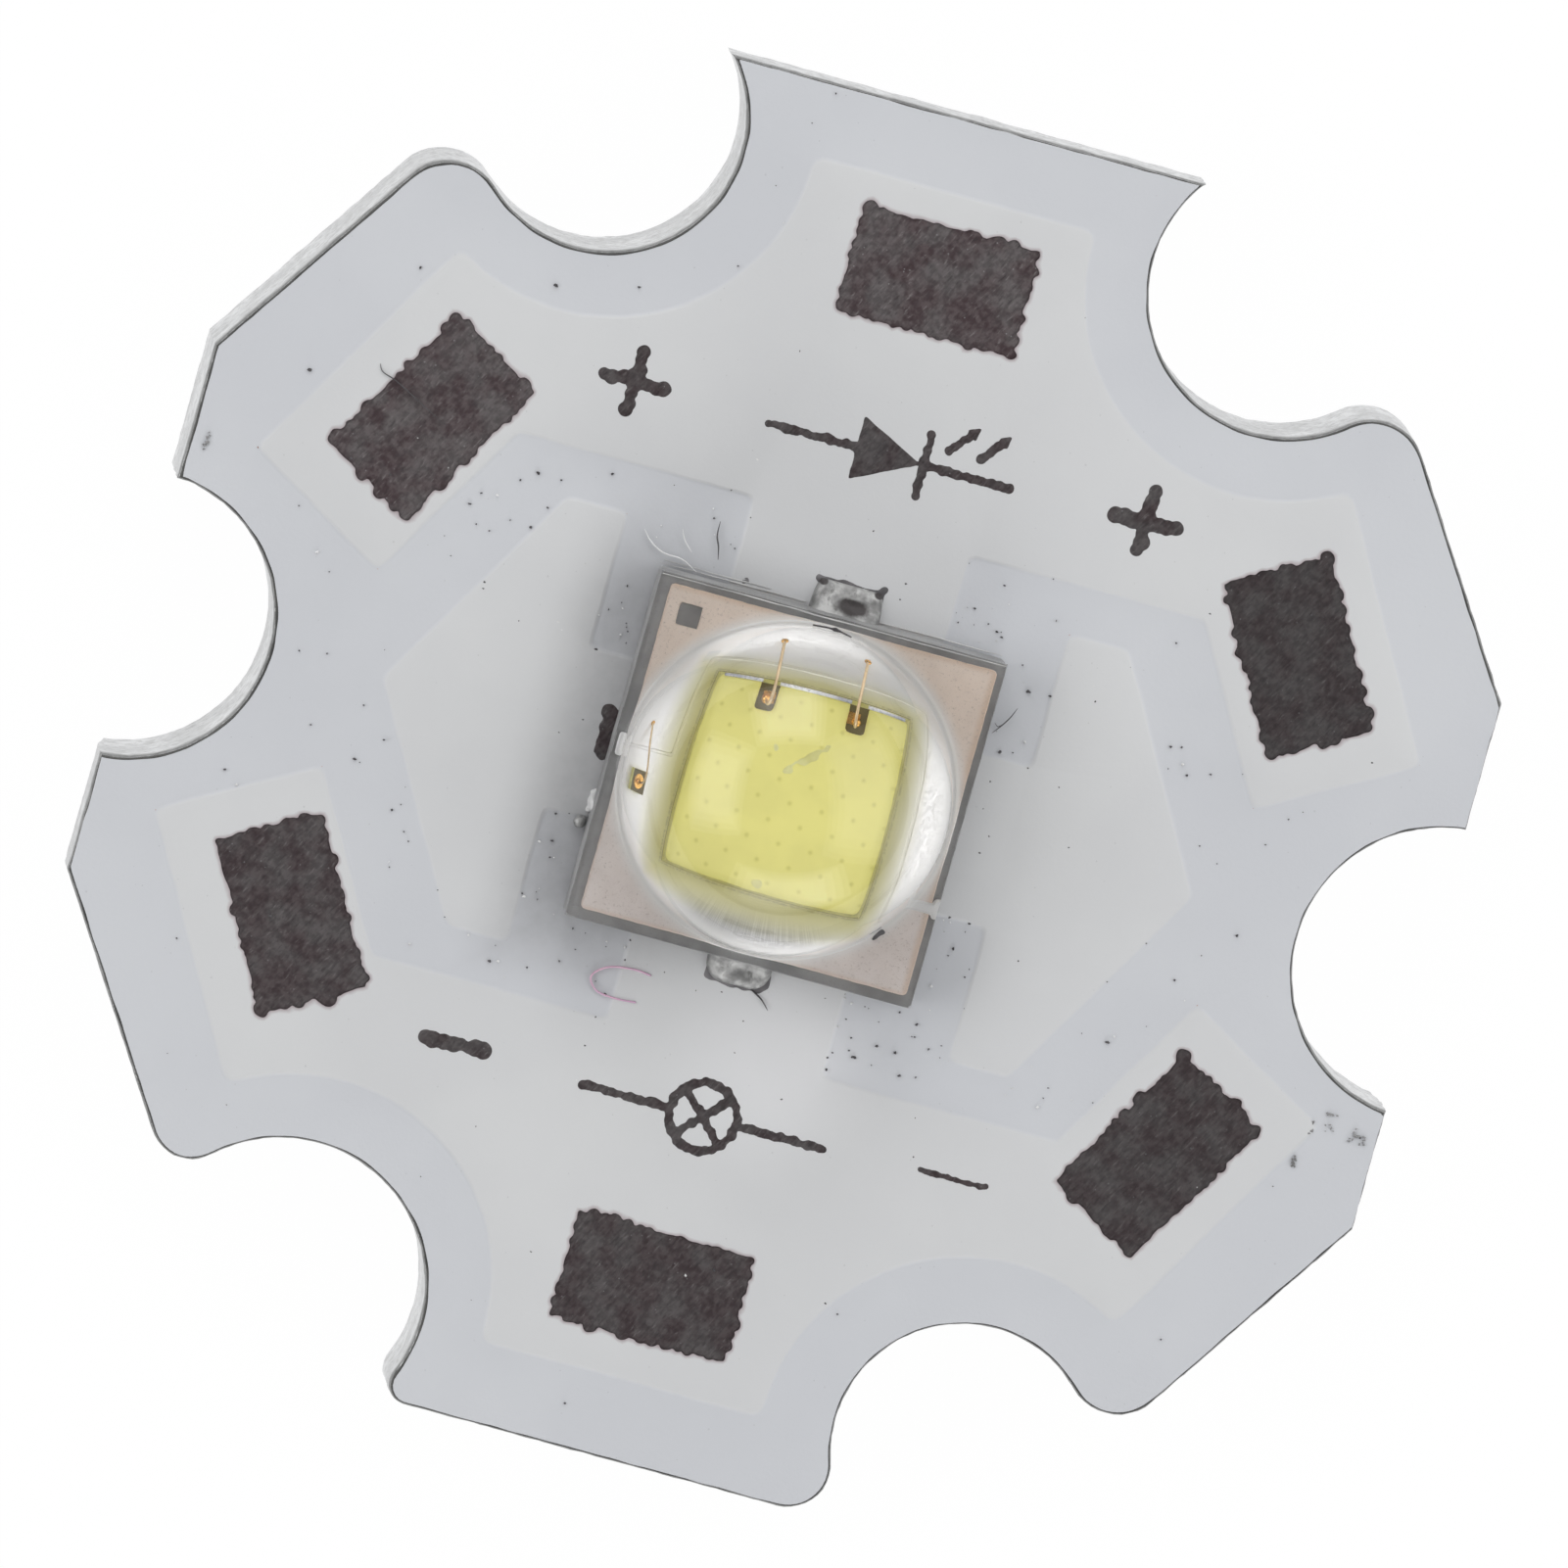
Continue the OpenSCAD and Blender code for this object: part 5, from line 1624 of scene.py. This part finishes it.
# The dark dash on the dome
DASH_WAY = (
    (-0.33, 2.43, 2.9), (-0.136, 2.447, 2.9), (-0.05, 2.447, 2.9), (0.054, 2.442, 2.905),
    (0.231, 2.408, 2.945))
# Middle and spread of each smudge
SMUDGES = (
    (8.35, -2.62, 0.08), (9.1, -2.6, 0.05), (8.97, -2.58, 0.06), (8.26, -3.13, 0.05), (-9.05, 2.62, 0.05),
    (8.6, -2.5, 0.14))


class LED_OT_dirt(Builder, bpy.types.Operator):
    """Dust specks, hairs and flux residue"""

    bl_idname = "led.dirt"
    bl_label = "Dust and flux"

    def build(self, board, package, colours):
        random = np.random.default_rng(8)
        self.scatter(random, star(board, 0.4)[::8], package.specks, colours)
        self.smudge(random, colours)
        self.lay_hairs(colours)
        chip = Field((1.5, -1.8), (2.0, -1.3), 0.0125, lambda p: (
            stroke_distance(p, (1.68, -1.6), (1.77, -1.45), 0.03) + 0.03 * lumps(p, 0.07, 75)))
        profile = [(0, METAL_TOP + 0.055), (0.015, METAL_TOP + 0.07)]
        chip = slab(chip, METAL_TOP + 0.048, profile, 0.02, 0.004, 0.03, 76)
        show("dark_chip", chip, grained("dust", colours), smooth=60)
        self.lay_threads(colours)
        pink = tube(spline([(x, y, MASK_TOP + 0.01) for x, y in PINK_WAY], 50), 0.014, 8)
        show("pink_fibre", pink, grained("pink fibre", colours), smooth=180)
        self.add_lump(colours)

    def scatter(self, random, rim, specks, colours):
        """Dust on the mask, thickest round the package and within the board's rim."""
        for name, count, kind in (("dark_dust", specks, "dust"), ("pale_dust", specks // 4, "pale dust")):
            parts = []
            while len(parts) < count:
                spot = random.normal(0, 2.3 if len(parts) % 3 else 4.2, 2) + (0, -0.2)
                on_package = np.abs(spot - PACKAGE).max() < PACKAGE_HALF + 0.1
                if not on_package and polygon_distance(spot[None], rim)[0] <= 0:
                    parts.append(self.speck(spot, 0.008 + 0.016 * random.random() ** 2, random))
            show(name, joined(parts), grained(kind, colours), smooth=60)

    def smudge(self, random, colours):
        """Small heaps of crumbs."""
        parts = []
        for x, y, spread in SMUDGES:
            for _ in range(9):
                spot = np.array([x, y]) + np.clip(random.normal(0, spread, 2), -0.15, 0.15) * (0.5, 1.0)
                parts.append(self.speck(spot, random.uniform(0.01, 0.024), random))
        show("smudges", joined(parts), grained("smudged dust", colours), smooth=60)

    def lay_hairs(self, colours):
        """Hairs and fibres on the mask, and the dark dash on the dome."""
        z = MASK_TOP + 0.01
        taper = np.sin(np.linspace(0.35, math.pi - 0.35, 24))
        for name, (way, radius, kind) in HAIRS.items():
            curve = spline([(x, y, z + 0.01 * i) for i, (x, y) in enumerate(way)], 24)
            show(name, tube(curve, radius * taper, 8), grained(kind, colours), smooth=180)
        # A dark dash lying on the dome's top, made as a dark tube in the dust finish.
        bulge = 0.012 + 0.02 * np.exp(-((np.linspace(0, 1, 40) - 0.62) / 0.1) ** 2)
        dash = tube(spline(DASH_WAY, 40), bulge, 8)
        show("dome_nick", dash, grained("dust", colours), smooth=180)

    def lay_threads(self, colours):
        """Pale threads of flux along the package's upper side, which also stand as painted highlights of its
        foot and top edge.
        """
        side = PACKAGE[1] + PACKAGE_HALF
        taper = np.sin(np.linspace(0.3, math.pi - 0.3, 40)) ** 0.4
        threads = []
        # The threads at the package's foot and along its top edge stand in for painted highlights of those
        # edges.
        for seed, (start, end, away, z) in enumerate((
            (-2.5, -0.38, 0.03, LOW_MASK_TOP + 0.05), (-2.45, -0.9, 0.075, LOW_MASK_TOP + 0.045),
            (0.62, 2.46, 0.03, LOW_MASK_TOP + 0.05), (-2.48, 2.48, -0.03, METAL_TOP + 0.052),
        )):
            flat = np.c_[PACKAGE[0] + np.linspace(start, end, 40), np.full(40, side + away)]
            wave = 0.01 * lumps(flat, 0.3, 81 + seed)
            thick = 0.009 * (1 + 0.5 * lumps(flat, 0.2, 91 + seed)) * taper
            threads.append(tube(np.c_[flat + (0, 1) * wave[:, None], np.full(40, z)], thick, 8))
        show("flux_lines", joined(threads), grained("flux residue", colours), smooth=180)

    def add_lump(self, colours):
        """A pale lump of flux beside the package."""

        def lump(p):
            oval = np.linalg.norm((p - (-2.53, -0.84)) / (0.8, 1.3), axis=1)
            return oval - 0.12 + 0.06 * lumps(p, 0.07, 71)

        field = Field((-2.9, -1.3), (-2.3, -0.5), 0.02, lump)
        profile = [(inset, LOW_MASK_TOP + z) for inset, z in ((0, 0.03), (0.03, 0.12), (0.08, 0.3))]
        residue = slab(field, LOW_MASK_TOP - 0.005, profile, 0.03, 0.02, 0.04, 72)
        show("flux_residue", residue, grained("pale dust", colours), smooth=60)

    def speck(self, spot, size, random):
        """A small flat crumb lying on the mask."""
        sides = 9
        angles = np.linspace(0, 2 * math.pi, sides, endpoint=False)
        shape = size * random.uniform(0.6, 1.3, sides)
        stretch = np.array([random.uniform(0.6, 1.6), 1.0])
        rings = []
        for share, z in ((0.9, -0.005), (1.0, 0.3 * size), (0.5, 0.7 * size)):
            flat = share * shape[:, None] * np.c_[np.cos(angles), np.sin(angles)] * stretch
            rings.append(np.c_[flat + spot, np.full(sides, LOW_MASK_TOP + 0.02 + z)])
        return loft(rings)


class VIEW3D_PT_led_board(bpy.types.Panel):
    """Sidebar panel with every piece of the LED board"""

    bl_label = "LED Board"
    bl_space_type = "VIEW_3D"
    bl_region_type = "UI"
    bl_category = "LED Board"

    def draw(self, context):
        for group in (context.scene.led_board, context.scene.led_package, context.scene.led_finishes):
            box = self.layout.box()
            for name in group.__annotations__:
                box.prop(group, name)
        for operator in OPERATORS:
            self.layout.operator(operator.bl_idname)


OPERATORS = (
    LED_OT_board, LED_OT_mask, LED_OT_pads, LED_OT_marks, LED_OT_solder, LED_OT_ceramic, LED_OT_plate,
    LED_OT_die, LED_OT_wires, LED_OT_silicone, LED_OT_hidden, LED_OT_dirt, LED_OT_stage,
)
CLASSES = (BoardSizes, PackageSizes, Finishes, *OPERATORS, VIEW3D_PT_led_board)


def register():
    for each in CLASSES:
        bpy.utils.register_class(each)
    bpy.types.Scene.led_board = PointerProperty(type=BoardSizes)
    bpy.types.Scene.led_package = PointerProperty(type=PackageSizes)
    bpy.types.Scene.led_finishes = PointerProperty(type=Finishes)


def unregister():
    del bpy.types.Scene.led_finishes, bpy.types.Scene.led_package, bpy.types.Scene.led_board
    for each in reversed(CLASSES):
        bpy.utils.unregister_class(each)


def main():
    register()
    bpy.ops.led.board()
    bpy.ops.led.mask()
    bpy.ops.led.pads()
    bpy.ops.led.marks()
    bpy.ops.led.solder()
    bpy.ops.led.ceramic()
    bpy.ops.led.plate()
    bpy.ops.led.die()
    bpy.ops.led.wires()
    bpy.ops.led.silicone()
    bpy.ops.led.hidden()
    bpy.ops.led.dirt()
    bpy.ops.led.stage()


if __name__ == "__main__":
    main()
